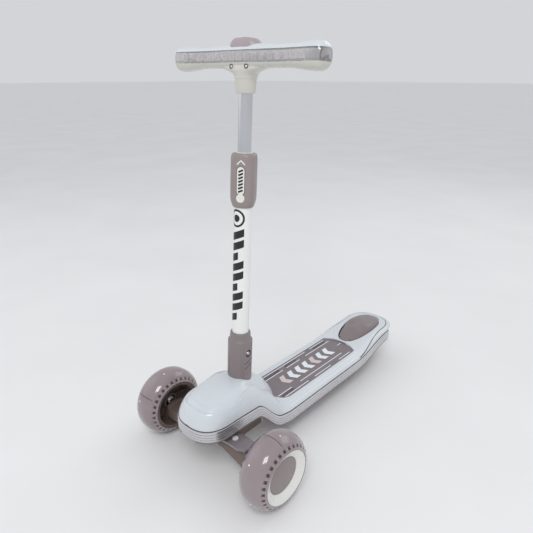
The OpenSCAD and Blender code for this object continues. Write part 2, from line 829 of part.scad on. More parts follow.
deck_cover();
grip_insert();
deck_lines();
deck_marks();
light_strip();
deck_tray();
tray_screws();
battery_box();
battery_cells();
battery_door();
control_board();
stem_collar();
stem_socket();
stem_tube();
tube_decals();
clamp_housing();
clamp_badge();
guide_bush();
lever_pin();
steer_mount();
kingpin();
rear_bracket();
rear_axle();
brake_pin();
truck_beam();
left_beam_cap();
right_beam_cap();
beam_rivets();
steer_bushings();
left_axle();
right_axle();
left_tyre();
left_core();
left_rim_ring();
left_hub_cap();
left_bearings();
right_tyre();
right_core();
right_rim_ring();
right_hub_cap();
right_bearings();
rear_tyre();
rear_core();
rear_bearings();
brake_pedal();
brake_shoe();
inner_tube();
bar_upper();
bar_lower();
bar_lens();
bar_leds();
bar_screws();
bar_cap();
light_button();
lock_lever();
snap_button();
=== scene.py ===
"""Looks of the child's kick scooter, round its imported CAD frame; lengths in mm until a mesh is made."""
import json
import math

import bmesh
import bpy
from mathutils import Matrix, Vector


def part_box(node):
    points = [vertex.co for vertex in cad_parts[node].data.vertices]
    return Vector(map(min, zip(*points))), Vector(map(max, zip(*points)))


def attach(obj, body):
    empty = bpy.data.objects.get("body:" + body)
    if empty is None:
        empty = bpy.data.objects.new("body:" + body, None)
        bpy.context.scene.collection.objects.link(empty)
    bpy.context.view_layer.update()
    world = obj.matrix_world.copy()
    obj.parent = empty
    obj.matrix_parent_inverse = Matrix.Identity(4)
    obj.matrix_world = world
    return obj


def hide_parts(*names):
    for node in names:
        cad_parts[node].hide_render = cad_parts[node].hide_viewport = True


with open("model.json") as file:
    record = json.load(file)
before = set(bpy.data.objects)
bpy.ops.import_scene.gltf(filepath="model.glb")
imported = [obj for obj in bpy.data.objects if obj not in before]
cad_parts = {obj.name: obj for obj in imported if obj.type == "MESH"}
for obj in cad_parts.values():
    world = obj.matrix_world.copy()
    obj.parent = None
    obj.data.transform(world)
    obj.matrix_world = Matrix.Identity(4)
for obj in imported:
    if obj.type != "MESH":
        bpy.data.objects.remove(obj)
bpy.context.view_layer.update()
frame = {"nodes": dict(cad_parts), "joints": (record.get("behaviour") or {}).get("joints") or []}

MM = 0.001
SEGMENTS = 96
JOINTS = {joint["name"]: joint for joint in frame["joints"]}


def box_mm(node):
    """Lowest and highest corner of a CAD node, in mm."""
    low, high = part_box(node)
    return low / MM, high / MM


def middle(node):
    low, high = box_mm(node)
    return (low + high) / 2


# Places read from the frame ----

AXLE = middle("left_tyre")
REAR = middle("rear_tyre")
TRACK = AXLE.x * 2
WHEEL_R = (box_mm("left_tyre")[1].z - box_mm("left_tyre")[0].z) / 2
WHEEL_HALF = (box_mm("left_tyre")[1].x - box_mm("left_tyre")[0].x) / 2
REAR_R = (box_mm("rear_tyre")[1].z - box_mm("rear_tyre")[0].z) / 2
REAR_HALF = box_mm("rear_tyre")[1].x
NOSE = box_mm("deck_cover")[0].y - AXLE.y
TAIL = box_mm("deck_cover")[1].y - AXLE.y
DECK_HALF = box_mm("deck_cover")[1].x
STRIP_LIP = box_mm("light_strip")[1].x - DECK_HALF
STAND_Z = box_mm("grip_insert")[1].z + 0.6
HUMP_Z = box_mm("deck_cover")[1].z
TRAY_Z = box_mm("deck_tray")[0].z
EDGE_Z = STAND_Z - 10
STRIP_H = EDGE_Z - TRAY_Z - 3
TUBE_R = box_mm("stem_tube")[1].x
BAR_HALF = box_mm("bar_lower")[1].x
CLAMP_TURN = math.radians(30)
STEM_AXIS = Vector(JOINTS["bar_height"]["axis"]).normalized()
STEM_FOOT = middle("stem_tube") - STEM_AXIS * ((middle("stem_tube").z - 100) / STEM_AXIS.z)


def along_stem(point):
    """Length along the stem, from the height of 100 mm, nearest to a point."""
    return (point - STEM_FOOT).dot(STEM_AXIS)


STEM_TURN = Vector((0, 0, 1)).rotation_difference(STEM_AXIS).to_matrix().to_4x4()
STEM = Matrix.Translation(STEM_FOOT) @ STEM_TURN
CLAMP = STEM @ Matrix.Rotation(CLAMP_TURN, 4, "Z")
BUTTON_S = along_stem(middle("snap_button"))
CLAMP_S = along_stem(middle("clamp_housing")) - 39
COLLAR_TOP_S = along_stem(middle("stem_collar")) + 41.5
BAR_S = along_stem(middle("light_button")) - 20.7
BAR_FRAME = STEM @ Matrix.Translation((0, 0, BAR_S))
CLAMP_FRAME = CLAMP @ Matrix.Translation((0, 0, CLAMP_S))
SIDEWAYS = Matrix.Rotation(math.pi / 2, 4, "Y")
FORWARD = Matrix.Rotation(math.pi / 2, 4, "X")
BUTTON_FRAME = STEM @ Matrix.Translation((0, 0, BUTTON_S)) @ SIDEWAYS


# Materials ----

def nodes_of(name):
    material = bpy.data.materials.new(name)
    material.use_nodes = True
    tree = material.node_tree
    shader = tree.nodes["Principled BSDF"]
    return material, tree, shader


def noise(tree, scale, detail=3.0, stretch=(1, 1, 1)):
    """Noise in the object's own space, scale in features per metre."""
    place = tree.nodes.new("ShaderNodeTexCoord")
    mapping = tree.nodes.new("ShaderNodeMapping")
    texture = tree.nodes.new("ShaderNodeTexNoise")
    mapping.inputs["Scale"].default_value = stretch
    texture.inputs["Scale"].default_value = scale
    texture.inputs["Detail"].default_value = detail
    tree.links.new(place.outputs["Object"], mapping.inputs["Vector"])
    tree.links.new(mapping.outputs["Vector"], texture.inputs["Vector"])
    return texture.outputs["Fac"]


def ramp(tree, factor, low, high, start=0.3, end=0.7):
    node = tree.nodes.new("ShaderNodeValToRGB")
    node.color_ramp.elements[0].position = start
    node.color_ramp.elements[1].position = end
    node.color_ramp.elements[0].color = (*low, 1)
    node.color_ramp.elements[1].color = (*high, 1)
    tree.links.new(factor, node.inputs["Fac"])
    return node.outputs["Color"]


def shade(colour, amount):
    return tuple(min(1, max(0, channel * amount)) for channel in colour)


def surface(name, colour, rough=0.3, vary=0.05, grain=900, bump=0.04, stretch=(1, 1, 1), **sockets):
    """Moulded or metal surface: slow colour change, uneven gloss and a fine grain."""
    material, tree, shader = nodes_of(name)
    tree.links.new(ramp(tree, noise(tree, 14), shade(colour, 1 - vary), shade(colour, 1 + vary)),
                   shader.inputs["Base Color"])
    gloss = ramp(tree, noise(tree, 60, 5, stretch), (rough * 0.8,) * 3, (rough * 1.25,) * 3)
    tree.links.new(gloss, shader.inputs["Roughness"])
    relief = tree.nodes.new("ShaderNodeBump")
    relief.inputs["Strength"].default_value = bump
    relief.inputs["Distance"].default_value = 0.0004
    tree.links.new(noise(tree, grain, 4, stretch), relief.inputs["Height"])
    tree.links.new(relief.outputs["Normal"], shader.inputs["Normal"])
    for socket, value in sockets.items():
        shader.inputs[socket.replace("_", " ")].default_value = value
    return material


WHITE = surface("shell_white", (0.66, 0.70, 0.735), 0.24, 0.02, 700, 0.02, Coat_Weight=0.5,
                Coat_Roughness=0.12)
TAUPE = surface("taupe_plastic", (0.235, 0.195, 0.20), 0.34, 0.06, 1500, 0.08)
CLAMP_TAUPE = surface("clamp_taupe", (0.30, 0.25, 0.245), 0.36, 0.05, 1500, 0.08)
PLATE = surface("plate_taupe", (0.235, 0.205, 0.225), 0.16, 0.05, 500, 0.02, Coat_Weight=0.6)
DARK = surface("dark_taupe", (0.15, 0.11, 0.095), 0.38, 0.08, 1200, 0.08)
DEEP = surface("dark_recess", (0.045, 0.03, 0.03), 0.5, 0.1, 900, 0.1)
RIM = surface("warm_white", (0.78, 0.78, 0.74), 0.28, 0.03, 900, 0.03)
# The lower shell and the neck are the same pale plastic as the top shell; this darker, warmer colour is
# painted shade with a painted warm reflection of the floor.
UNDERSHELL_SHADE_AND_BOUNCE = surface("underside_shade_and_bounce", (0.60, 0.585, 0.53), 0.3, 0.03, 700, 0.03, Coat_Weight=0.3)
CAP = surface("hub_cap_taupe", (0.27, 0.225, 0.22), 0.33, 0.05, 1200, 0.06)
GRIP = surface("grip_sheet", (0.215, 0.185, 0.20), 0.6, 0.08, 2600, 0.5)
INK = surface("black_ink", (0.012, 0.012, 0.014), 0.35, 0.1, 900, 0.03)
PRINT = surface("white_print", (0.82, 0.85, 0.90), 0.35, 0.03, 900, 0.03)
PINK = surface("pink_print", (0.66, 0.56, 0.56), 0.35, 0.04, 900, 0.03)
PAINT = surface("tube_paint", (0.86, 0.86, 0.84), 0.2, 0.02, 400, 0.02, Coat_Weight=0.4)
BRUSH = (1, 1, 0.04)
SILVER = surface("anodised_tube", (0.66, 0.67, 0.69), 0.2, 0.05, 700, 0.06, BRUSH, Metallic=0.9)
STEEL = surface("zinc_steel", (0.62, 0.62, 0.63), 0.22, 0.06, 900, 0.05, Metallic=1.0)
BOARD = surface("circuit_board", (0.03, 0.14, 0.07), 0.45, 0.15, 1800, 0.15)
RUBBER = surface("black_rubber", (0.02, 0.02, 0.02), 0.7, 0.1, 1500, 0.25)
TREAD = surface("mauve_tread", (0.30, 0.245, 0.255), 0.14, 0.05, 400, 0.02, Subsurface_Weight=0.25,
                Subsurface_Scale=0.006, Coat_Weight=0.7, Coat_Roughness=0.05)
# Near-black fill for the floors of the tread windows and the seam groove: painted shade in these recesses.
TREAD_RECESS_SHADE = surface("tread_recess_shade", (0.09, 0.07, 0.085), 0.3, 0.15, 900, 0.05)
# Bright glossy white for the tyre lamps; on the steel beam rivets it is a painted highlight.
LAMP_AND_GLINT = surface("lamp_dot_and_glint", (0.9, 0.9, 0.92), 0.08, 0.02, 600, 0.02, Coat_Weight=1.0)
LENS = surface("ribbed_lens", (0.60, 0.595, 0.62), 0.13, 0.06, 120, 0.01, Metallic=0.75,
               Coat_Weight=1.0, Coat_Roughness=0.04)
CLEAR = surface("clear_band", (0.90, 0.90, 0.93), 0.05, 0.02, 120, 0.005, Transmission_Weight=0.85,
                IOR=1.4, Coat_Weight=0.8)
# Dark bands along the rib valleys of the clear lens: painted shade in the valleys.
RIB_VALLEY_SHADE = surface("lens_valley_shade", (0.16, 0.145, 0.14), 0.2, 0.2, 120, 0.01, Metallic=0.5, Coat_Weight=0.8)
REFLECTOR = surface("ribbed_reflector", (0.50, 0.48, 0.47), 0.17, 0.10, 120, 0.01, Metallic=0.9)
BLUSH = surface("cap_mauve", (0.40, 0.335, 0.36), 0.3, 0.05, 1200, 0.05)
LED = surface("lamp_amber", (0.86, 0.66, 0.52), 0.25, 0.12, 800, 0.05)
TAPE = surface("lamp_tape", (0.78, 0.74, 0.76), 0.3, 0.05, 800, 0.05)


# Mesh building ----

def add_object(name, data):
    obj = bpy.data.objects.new(name, data)
    bpy.context.scene.collection.objects.link(obj)
    return obj


def piece(name, points, faces, material, body=None, replaced=(), sharp=38):
    """Makes a mesh from points in mm, rides it on a body and hides the CAD parts it replaces."""
    mesh = bpy.data.meshes.new(name)
    mesh.from_pydata([Vector(p) * MM for p in points], [], faces)
    welded = bmesh.new()
    welded.from_mesh(mesh)
    bmesh.ops.remove_doubles(welded, verts=welded.verts, dist=1e-6)
    bmesh.ops.recalc_face_normals(welded, faces=welded.faces)
    welded.to_mesh(mesh)
    welded.free()
    obj = add_object(name, mesh)
    mesh.materials.append(material)
    finish_shading(obj, sharp)
    if body:
        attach(obj, body)
        if replaced:
            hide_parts(*replaced)
    return obj


def finish_shading(obj, sharp):
    obj.data.shade_smooth()
    obj.data.set_sharp_from_angle(angle=math.radians(sharp))


def settle(obj, sharp=38):
    """Puts the modifiers' result into the mesh."""
    bpy.context.view_layer.update()
    graph = bpy.context.evaluated_depsgraph_get()
    mesh = bpy.data.meshes.new_from_object(obj.evaluated_get(graph))
    obj.modifiers.clear()
    obj.data = mesh
    finish_shading(obj, sharp)


def cut(obj, cutters, sharp=38):
    """Takes the cutters away from obj."""
    for cutter in cutters:
        step = obj.modifiers.new("cut", "BOOLEAN")
        step.operation = "DIFFERENCE"
        step.solver = "EXACT"
        step.object = cutter
    settle(obj, sharp)
    for cutter in cutters:
        bpy.data.objects.remove(cutter)


def soften(obj, width, segments=3, angle=30):
    """Rounds the sharp edges; width in mm."""
    step = obj.modifiers.new("soften", "BEVEL")
    step.width = width * MM
    step.segments = segments
    step.limit_method = "ANGLE"
    step.angle_limit = math.radians(angle)
    settle(obj)


def sheet_faces(rows, columns, close_rows=False, close_columns=False):
    """Quads over a grid of points, each row being columns long."""
    faces = []
    for i in range(rows if close_rows else rows - 1):
        for j in range(columns if close_columns else columns - 1):
            a = i % rows * columns + j
            b = i % rows * columns + (j + 1) % columns
            c = (i + 1) % rows * columns + (j + 1) % columns
            d = (i + 1) % rows * columns + j
            faces.append((a, b, c, d))
    return faces


def loft(name, rings, material, body=None, replaced=(), sharp=38):
    """Closed rings of equal length joined in order, with both ends closed."""
    count = len(rings[0])
    points = [p for ring in rings for p in ring]
    faces = sheet_faces(len(rings), count, close_columns=True)
    faces.append(tuple(range(count)))
    faces.append(tuple(range(len(points) - count, len(points))))
    return piece(name, points, faces, material, body, replaced, sharp)


def revolve(name, profile, place, material, body=None, replaced=(), segments=SEGMENTS):
    """Turns a closed profile of (radius, height) round the local Z axis."""
    turn = 2 * math.pi / segments
    points = [place @ Vector((r * math.cos(turn * i), r * math.sin(turn * i), h))
              for i in range(segments) for r, h in profile]
    faces = sheet_faces(segments, len(profile), close_rows=True, close_columns=True)
    return piece(name, points, faces, material, body, replaced)


def prism(name, outline, low, high, place=Matrix(), material=None, body=None, slot=None, replaced=()):
    """Upright prism over an outline of (x, y)."""
    rings = [[place @ Vector((x, y, z)) for x, y in outline] for z in (low, high)]
    return loft(name, rings, material or DARK, body, replaced)


def upended(x, place=Matrix()):
    """Frame for an outline drawn in (y, z) and given thickness along x."""
    swap = Matrix(((0, 0, 1, 0), (1, 0, 0, 0), (0, 1, 0, 0), (0, 0, 0, 1)))
    return place @ Matrix.Translation((x, 0, 0)) @ swap


def turned(place, degrees):
    """The frame turned about its own Z axis."""
    return place @ Matrix.Rotation(math.radians(degrees), 4, "Z")


def block(name, low, high, place=Matrix(), **more):
    outline = [(low[0], low[1]), (high[0], low[1]), (high[0], high[1]), (low[0], high[1])]
    return prism(name, outline, low[2], high[2], place, **more)


def arc(centre, radius, start, end, steps):
    """Points on an arc, angles in degrees."""
    angles = [math.radians(start + (end - start) * i / steps) for i in range(steps + 1)]
    return [(centre[0] + radius * math.cos(a), centre[1] + radius * math.sin(a)) for a in angles]


def circle(radius, step, depth=None):
    """Outline of a circle, or of an oval where depth is given, with a point every step degrees."""
    angles = [math.radians(a) for a in range(0, 360, step)]
    return [(radius * math.cos(a), (depth or radius) * math.sin(a)) for a in angles]


def round_box(width, depth, radius, steps=6):
    """Outline of a rectangle with round corners."""
    x, y = width / 2 - radius, depth / 2 - radius
    corners = [((x, y), 0), ((-x, y), 90), ((-x, -y), 180), ((x, -y), 270)]
    return [p for centre, a in corners for p in arc(centre, radius, a, a + 90, steps)]


def merge(name, pieces, body, replaced=()):
    """Joins loose pieces that share a body into one."""
    joined = bmesh.new()
    materials = []
    for part in pieces:
        offset = len(materials)
        before = len(joined.faces)
        joined.from_mesh(part.data)
        joined.faces.ensure_lookup_table()
        for face in joined.faces[before:]:
            face.material_index += offset
        materials.extend(part.data.materials)
        bpy.data.objects.remove(part)
    mesh = bpy.data.meshes.new(name)
    joined.to_mesh(mesh)
    joined.free()
    obj = add_object(name, mesh)
    for material in materials:
        mesh.materials.append(material)
    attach(obj, body)
    if replaced:
        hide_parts(*replaced)
    return obj


# Shape of the deck, as in the CAD: d is the distance behind the front axle ----

NOSE_D = -8
NOSE_LEN = NOSE_D - NOSE
TAIL_D = REAR.y - AXLE.y - 7
TAIL_LEN = TAIL - TAIL_D
NOSE_HALF, NECK_HALF = 47, 50
NECK_D, SHOULDER_D, TAPER_D = 76, 130, 340
NOSE_DROP_D, EDGE_FLAT_D, EDGE_FOOT_D = 48, 106, 140
TAIL_RISE_D, TAIL_HIGH_D = 330, 490
CROWN_D, NOSE_Z = 26, 138
NOSE_EDGE_Z, TAIL_EDGE_Z = 105, EDGE_Z + 18
INSERT_HALF = box_mm("grip_insert")[1].x
INSERT_D, INSERT_CORNER = 124, 24
INSERT_BACK_R, INSERT_BACK_D = 66.5, 300.5
HUMP_BACK_D, HUMP_FOOT_D, HOLLOW_R = 48, 128.5, 29.5
HOLLOW_D = HUMP_FOOT_D - HOLLOW_R
STRIP_END_D = TAIL_D + 20


def smooth(t):
    t = max(0.0, min(1.0, t))
    return t * t * (3 - 2 * t)


def ease(d, d0, d1, a, b):
    return a + (b - a) * smooth((d - d0) / (d1 - d0))


def half_width(d):
    if d < NECK_D:
        return ease(d, NOSE_D, NECK_D, NOSE_HALF, NECK_HALF)
    if d < TAPER_D:
        return ease(d, NECK_D, SHOULDER_D, NECK_HALF, DECK_HALF)
    return ease(d, TAPER_D, TAIL_D, DECK_HALF, DECK_HALF - 6)


def end_share(d, inset=0):
    if d < NOSE_D:
        return (NOSE_D - d) / (NOSE_LEN - inset)
    return max(0, d - TAIL_D) / (TAIL_LEN - inset)


def outline_x(d, inset=0):
    return (half_width(d) - inset) * max(0, 1 - end_share(d, inset) ** 2.5) ** 0.4


def edge_z(d):
    if d < EDGE_FOOT_D:
        return ease(d, NOSE_DROP_D, EDGE_FLAT_D, NOSE_EDGE_Z, EDGE_Z)
    return ease(d, TAIL_RISE_D, TAIL_HIGH_D, EDGE_Z, TAIL_EDGE_Z)


def foot_curve(x):
    """How far the hump's foot at x lies in front of its foot on the middle line."""
    return HOLLOW_R - math.sqrt(HOLLOW_R ** 2 - min(abs(x), 0.9 * HOLLOW_R) ** 2)


def dome(d):
    """Share of the hump's height left at d, where it falls in a dome to its foot."""
    return (1 - min(1, max(0, d - HUMP_BACK_D) / (HUMP_FOOT_D - HUMP_BACK_D)) ** 1.5) ** 0.65


def crown_z(x, d):
    if d < CROWN_D:
        return ease(d, NOSE, CROWN_D, NOSE_Z, HUMP_Z)
    if d < HUMP_FOOT_D:
        return STAND_Z + (HUMP_Z - STAND_Z) * dome(d + foot_curve(x))
    return ease(d, TAIL_RISE_D, TAIL_D + 5, STAND_Z, STAND_Z + 14)


def facet_drop(x, d):
    """The U-shaped step pressed into the nose, open towards the rider."""
    half = ease(d, 10, 60, 40.5, 33.5)
    reach = ((abs(x) / half) ** 2.8 + (max(0, 6 - d) / 51) ** 2.8) ** (1 / 2.8)
    fade = 1 - smooth((d - 58) / 36)
    outer = smooth((1 - reach) / 0.065)
    inner = smooth((0.80 - reach) / 0.08) * (1 - smooth((d - 8) / 34))
    return (4.4 * outer + 1.0 * inner - 0.5 * math.exp(-(((reach - 1.03) / 0.04) ** 2))) * fade


def cover_z(x, d):
    spread = (abs(x) / half_width(d)) ** 2.5 + end_share(d) ** 2.5
    s = min(1, spread ** 0.4)
    power = ease(d, NECK_D, SHOULDER_D, 3.2, 6)
    height = edge_z(d) + (crown_z(x, d) - edge_z(d)) * (1 - s ** power) ** 0.6
    crease = math.exp(-(((s - 0.84) / 0.02) ** 2)) * smooth((d - 95) / 30)
    return height - facet_drop(x, d) - 0.7 * crease


def deck_stations(first_d, last_d, inset=0):
    """Places along the deck, closer together towards its round ends."""
    nose = [NOSE_D - (NOSE_LEN - inset) * math.sin(math.radians(a)) for a in range(88, 0, -2)]
    body = [NOSE_D + 2 * i for i in range(int((TAIL_D - NOSE_D) / 2) + 1)]
    tail = [TAIL_D + (TAIL_LEN - inset) * math.sin(math.radians(a)) for a in range(3, 89, 3)]
    return [d for d in nose + body + tail if first_d <= d <= last_d]


def insert_outline(inset=0.0):
    """Grip insert: round corners and a hollow for the hump in front, rounded at the back."""
    hollow, back, corner = HOLLOW_R + inset, INSERT_BACK_R - inset, INSERT_CORNER - inset
    side, corner_d = INSERT_HALF - INSERT_CORNER, INSERT_D + INSERT_CORNER
    hollow_a = math.degrees(math.asin((INSERT_D + inset - HOLLOW_D) / hollow))
    back_a = math.degrees(math.asin((INSERT_HALF - inset) / back))
    near = arc((side, corner_d), corner, 0, -89, 12)
    near += arc((0, HOLLOW_D), hollow, hollow_a, 180 - hollow_a, 24)
    near += arc((-side, corner_d), corner, 269, 180, 12)
    far = arc((0, INSERT_BACK_D), back, 90 + back_a, 90 - back_a, 24)
    return [(x, AXLE.y + d) for x, d in near + far]


PEDAL_MID = middle("brake_pedal").y
PEDAL_LEN = (box_mm("brake_pedal")[1].y - box_mm("brake_pedal")[0].y) / 2


def pedal_x(a, grow=0):
    return (31 - 3 * math.cos(a) + grow) * math.copysign(abs(math.sin(a)) ** 0.8, math.sin(a))


def pedal_outline(grow=0, steps=72):
    turns = [2 * math.pi * i / steps for i in range(steps)]
    return [(pedal_x(a, grow), PEDAL_MID - (PEDAL_LEN + grow) * math.cos(a)) for a in turns]


# Deck ----

def tail_groove(half, low, high):
    """Sweep along the line that leaves the deck's edge and rounds the tail inside its rim."""
    ds = [350 + 2.5 * i for i in range(int((TAIL_D - 350) / 2.5) + 1)]
    ds += [TAIL_D + TAIL_LEN * math.sin(math.radians(a)) for a in range(4, 89, 4)]
    right = [Vector((outline_x(d), d)) for d in ds]
    rim = right + [Vector((0, TAIL))] + [Vector((-p.x, p.y)) for p in reversed(right)]
    rings = []
    for i, point in enumerate(rim):
        along = (rim[min(i + 1, len(rim) - 1)] - rim[max(i - 1, 0)]).normalized()
        out = Vector((along.y, -along.x))
        inner = point - out * (1.2 + 8.3 * smooth((point.y - 350) / 105))
        z = cover_z(inner.x, inner.y)
        side = Vector((out.x, out.y, 0)) * half
        centre = Vector((inner.x, AXLE.y + inner.y, z))
        rings.append([centre + side * way + Vector((0, 0, h))
                      for way, h in ((-1, low), (1, low), (1, high), (-1, high))])
    return loft("tail_line", rings, DEEP)


def deck_cover():
    half_columns = 64
    rows = deck_stations(NOSE, TAIL)
    columns = 2 * half_columns + 1
    turns = [math.pi / 2 * j / half_columns for j in range(-half_columns, half_columns + 1)]
    points = []
    for d in rows:
        for a in turns:
            x = outline_x(d) * math.sin(a)
            points.append((x, AXLE.y + d, cover_z(x, d)))
    shell = piece("deck_shell", points, sheet_faces(len(rows), columns), WHITE, "deck",
                  ["deck_cover"])
    wall = shell.modifiers.new("wall", "SOLIDIFY")
    wall.thickness = 2.4 * MM
    wall.offset = -1
    cut(shell, [prism("insert_cut", insert_outline(), STAND_Z - 20, STAND_Z + 20),
                prism("pedal_cut", pedal_outline(1.3), STAND_Z - 20, STAND_Z + 60),
                tail_groove(0.75, -1.3, 3)], 30)
    merge("tail_line", [tail_groove(0.72, -1.6, -0.7)], "deck")


def grip_insert():
    sheet = prism("grip_sheet", insert_outline(0.5), STAND_Z - 4, STAND_Z - 0.5, Matrix(), GRIP, "deck",
                  "grip", ["grip_insert"])
    soften(sheet, 0.5)


def bar_on_deck(x0, x1, d0, d1, slant=0.0, ink=PRINT):
    """A thin printed bar on the insert, from d0 to d1 behind the axle."""
    outline = [(x0, AXLE.y + d0), (x1, AXLE.y + d0 + slant), (x1, AXLE.y + d1 + slant), (x0, AXLE.y + d1)]
    return prism("bar", outline, STAND_Z - 0.7, STAND_Z - 0.35, Matrix(), ink)


def deck_lines():
    """Side lines with gaps, and a ladder of slanted crossbars between them."""
    bars = []
    runs = {1: (((138, 205), (225, 277), (306, 345)), ((129, 168), (193, 330)), ((133, 168),)),
            -1: (((138, 281), (298, 346)), ((129, 199), (211, 252), (271, 352)),
                 ((133, 196), (211, 245), (303, 345)))}
    for side, (outer, inner, ladders) in runs.items():
        for x, lines in ((34.6, outer), (24.2, inner)):
            for start, stop in lines:
                bars.append(bar_on_deck(side * (x - 0.8), side * (x + 0.8), start, stop))
        for start, stop in ladders:
            for i in range(int((stop - start) / 3.4)):
                d = start + 3.4 * i
                bars.append(bar_on_deck(side * 26.4, side * 32.4, d, d + 1.7, 1.5, DEEP))
    bars.append(bar_on_deck(-0.8, 0.8, 349, 362))
    merge("deck_lines_print", bars, "deck", ["deck_lines"])


def deck_marks():
    """Seven raised chevrons that point forward, the first and fifth in pink."""
    marks = []
    for i in range(7):
        d = 168 + 22.8 * i
        arm = [(-13, d + 7), (0, d), (13, d + 7), (13, d + 19), (0, d + 12), (-13, d + 19)]
        outline = [(x, AXLE.y + y) for x, y in arm]
        ink = PINK if i in (0, 4) else PRINT
        mark = prism("mark", outline, STAND_Z - 0.9, STAND_Z - 0.1, Matrix(), ink)
        soften(mark, 0.3)
        marks.append(mark)
    merge("tread_chevrons", marks, "deck", ["deck_marks"])


def rim_path(last_d):
    """Points (x, d) and outward normals round the nose, from one side of the tail to the other."""
    side = [(outline_x(d), d) for d in deck_stations(NOSE, last_d)]
    points = [(-x, d) for x, d in reversed(side)] + [(0, NOSE)] + side
    normals = []
    for i in range(len(points)):
        a, b = points[max(0, i - 1)], points[min(len(points) - 1, i + 1)]
        along = Vector((b[0] - a[0], b[1] - a[1])).normalized()
        normals.append(Vector((along.y, -along.x)))
    return list(zip(points, normals))


def swept_rim(name, profile, last_d, material, replaced=()):
    """Sweeps a closed profile of (outward, up) round the deck's edge."""
    rings = []
    for (x, d), out in rim_path(last_d):
        rings.append([(x + out.x * o, AXLE.y + d + out.y * o, edge_z(d) + h) for o, h in profile])
    return loft(name, rings, material, "deck", replaced)


def light_strip():
    """Silvery bulging lens moulded in ribs, a ribbed reflector behind it and a dark seam above."""
    top, foot, ribs, steps = -1.3, -STRIP_H + 0.6, 4, 40
    outer = []
    for i in range(steps + 1):
        share = i / steps
        bulge = STRIP_LIP * math.sin(math.pi * (0.12 + 0.76 * share)) ** 0.5
        rib = 0.55 * (1 - abs(math.sin(ribs * math.pi * share)) ** 0.6)
        outer.append((bulge - rib - 0.05, top + (foot - top) * share))
    lens = outer + [(-1.4, foot), (-1.4, top)]
    swept_rim("deck_light_lens", lens, STRIP_END_D, LENS, ["light_strip"])
    # Thin dark bands over the rib valleys are painted shade.
    for i, half in ((1, 0.45), (2, 0.8), (3, 0.5)):
        out, h = outer[steps * i // ribs]
        inner, lip = out - 0.6, out + 0.16
        valley = [(inner, h - half), (lip, h - half), (lip, h + half), (inner, h + half)]
        swept_rim(f"deck_lens_valley_{i}", valley, STRIP_END_D, RIB_VALLEY_SHADE)
    folds = [(-2.4 + 0.7 * math.cos(math.pi * i / 4), top + (foot - top) * i / 32) for i in range(33)]
    swept_rim("deck_reflector", folds + [(-3.4, foot), (-3.4, top)], STRIP_END_D - 2, REFLECTOR)
    seam = [(-2.4, -0.1), (0.3, -0.1), (0.5, -0.7), (0.3, -1.3), (-2.4, -1.3)]
    swept_rim("deck_seam", seam, STRIP_END_D, DEEP)


def floor_pan():
    """Pan under the deck, with a rolled edge and openings for the steering block and the fork."""
    rings = []
    for d in deck_stations(NOSE - 1, STRIP_END_D, -0.5):
        half, low = outline_x(d, -1.2), edge_z(d) - STRIP_H
        edge = [(3.0, 0.5), (0.4, 0.5), (0.0, 0.1), (0.0, -1.4), (0.5, -2.3), (1.6, -2.9), (3.0, -3.0)]
        right = [(half - i, low + h) for i, h in edge]
        left = [(-x, z) for x, z in reversed(right)]
        rings.append([(x, AXLE.y + d, z) for x, z in right + left])
    pan = loft("floor_pan", rings, TAUPE, "deck", ["deck_tray"])
    mount_low, mount_high = box_mm("steer_mount")
    fork_low, fork_high = box_mm("rear_bracket")
    door_low, door_high = box_mm("battery_door")
    cut(pan, [block("a", (mount_low.x - 1, NOSE + AXLE.y - 9, 20), (mount_high.x + 1, mount_high.y + 1, 140)),
              block("b", (fork_low.x - 1, fork_low.y - 1, 20), (fork_high.x + 1, TAIL + AXLE.y, 140)),
              block("c", (door_low.x - 0.4, door_low.y - 0.4, 20),
                    (door_high.x + 0.4, door_high.y + 0.4, 44))])
    ribs = [block("rib", (x - 1.2, AXLE.y + 135, TRAY_Z - 0.4), (x + 1.2, AXLE.y + 345, TRAY_Z + 1),
                  material=TAUPE) for x in (-34, -27, 27, 34)]
    merge("pan_ribs", ribs, "deck")


def battery_door():
    """Door with finger grooves."""
    low, high = box_mm("battery_door")
    door = block("battery_lid", low, high, material=TAUPE, body="deck", slot="taupe",
                 replaced=["battery_door"])
    grooves = [block("g", (-9, high.y - 10 - 4 * i, low.z - 1), (9, high.y - 8.4 - 4 * i, low.z + 0.7))
               for i in range(4)]
    cut(door, grooves)
    soften(door, 0.3, 2)


# Brake ----

def pedal_top(x, d, share):
    """Domed block: steep sides, a ridge down its front slope and a flat top behind the peak."""
    foot = STAND_Z + 1 + 10 * smooth((d - 385) / 95)
    crest = STAND_Z + 8 + 15 * smooth((d - 362) / 56) - 6 * smooth((d - 436) / 64)
    ridge = 0.34 * (math.sqrt(x * x + 1) - 1) * (1 - smooth((d - 412) / 20))
    return foot + (crest - ridge - foot) * (1 - share ** 5.5) ** 0.5


def pedal_ring(share, spread, drop, steps=96):
    """Ring of the pedal's surface, drawn in by spread and lowered by drop."""
    ring = []
    for i in range(steps):
        a = 2 * math.pi * i / steps
        x, along = pedal_x(a) * share, -PEDAL_LEN * math.cos(a) * share
        z = pedal_top(x, PEDAL_MID + along - AXLE.y, share) - drop
        ring.append((x * spread, PEDAL_MID + along * spread, z))
    return ring


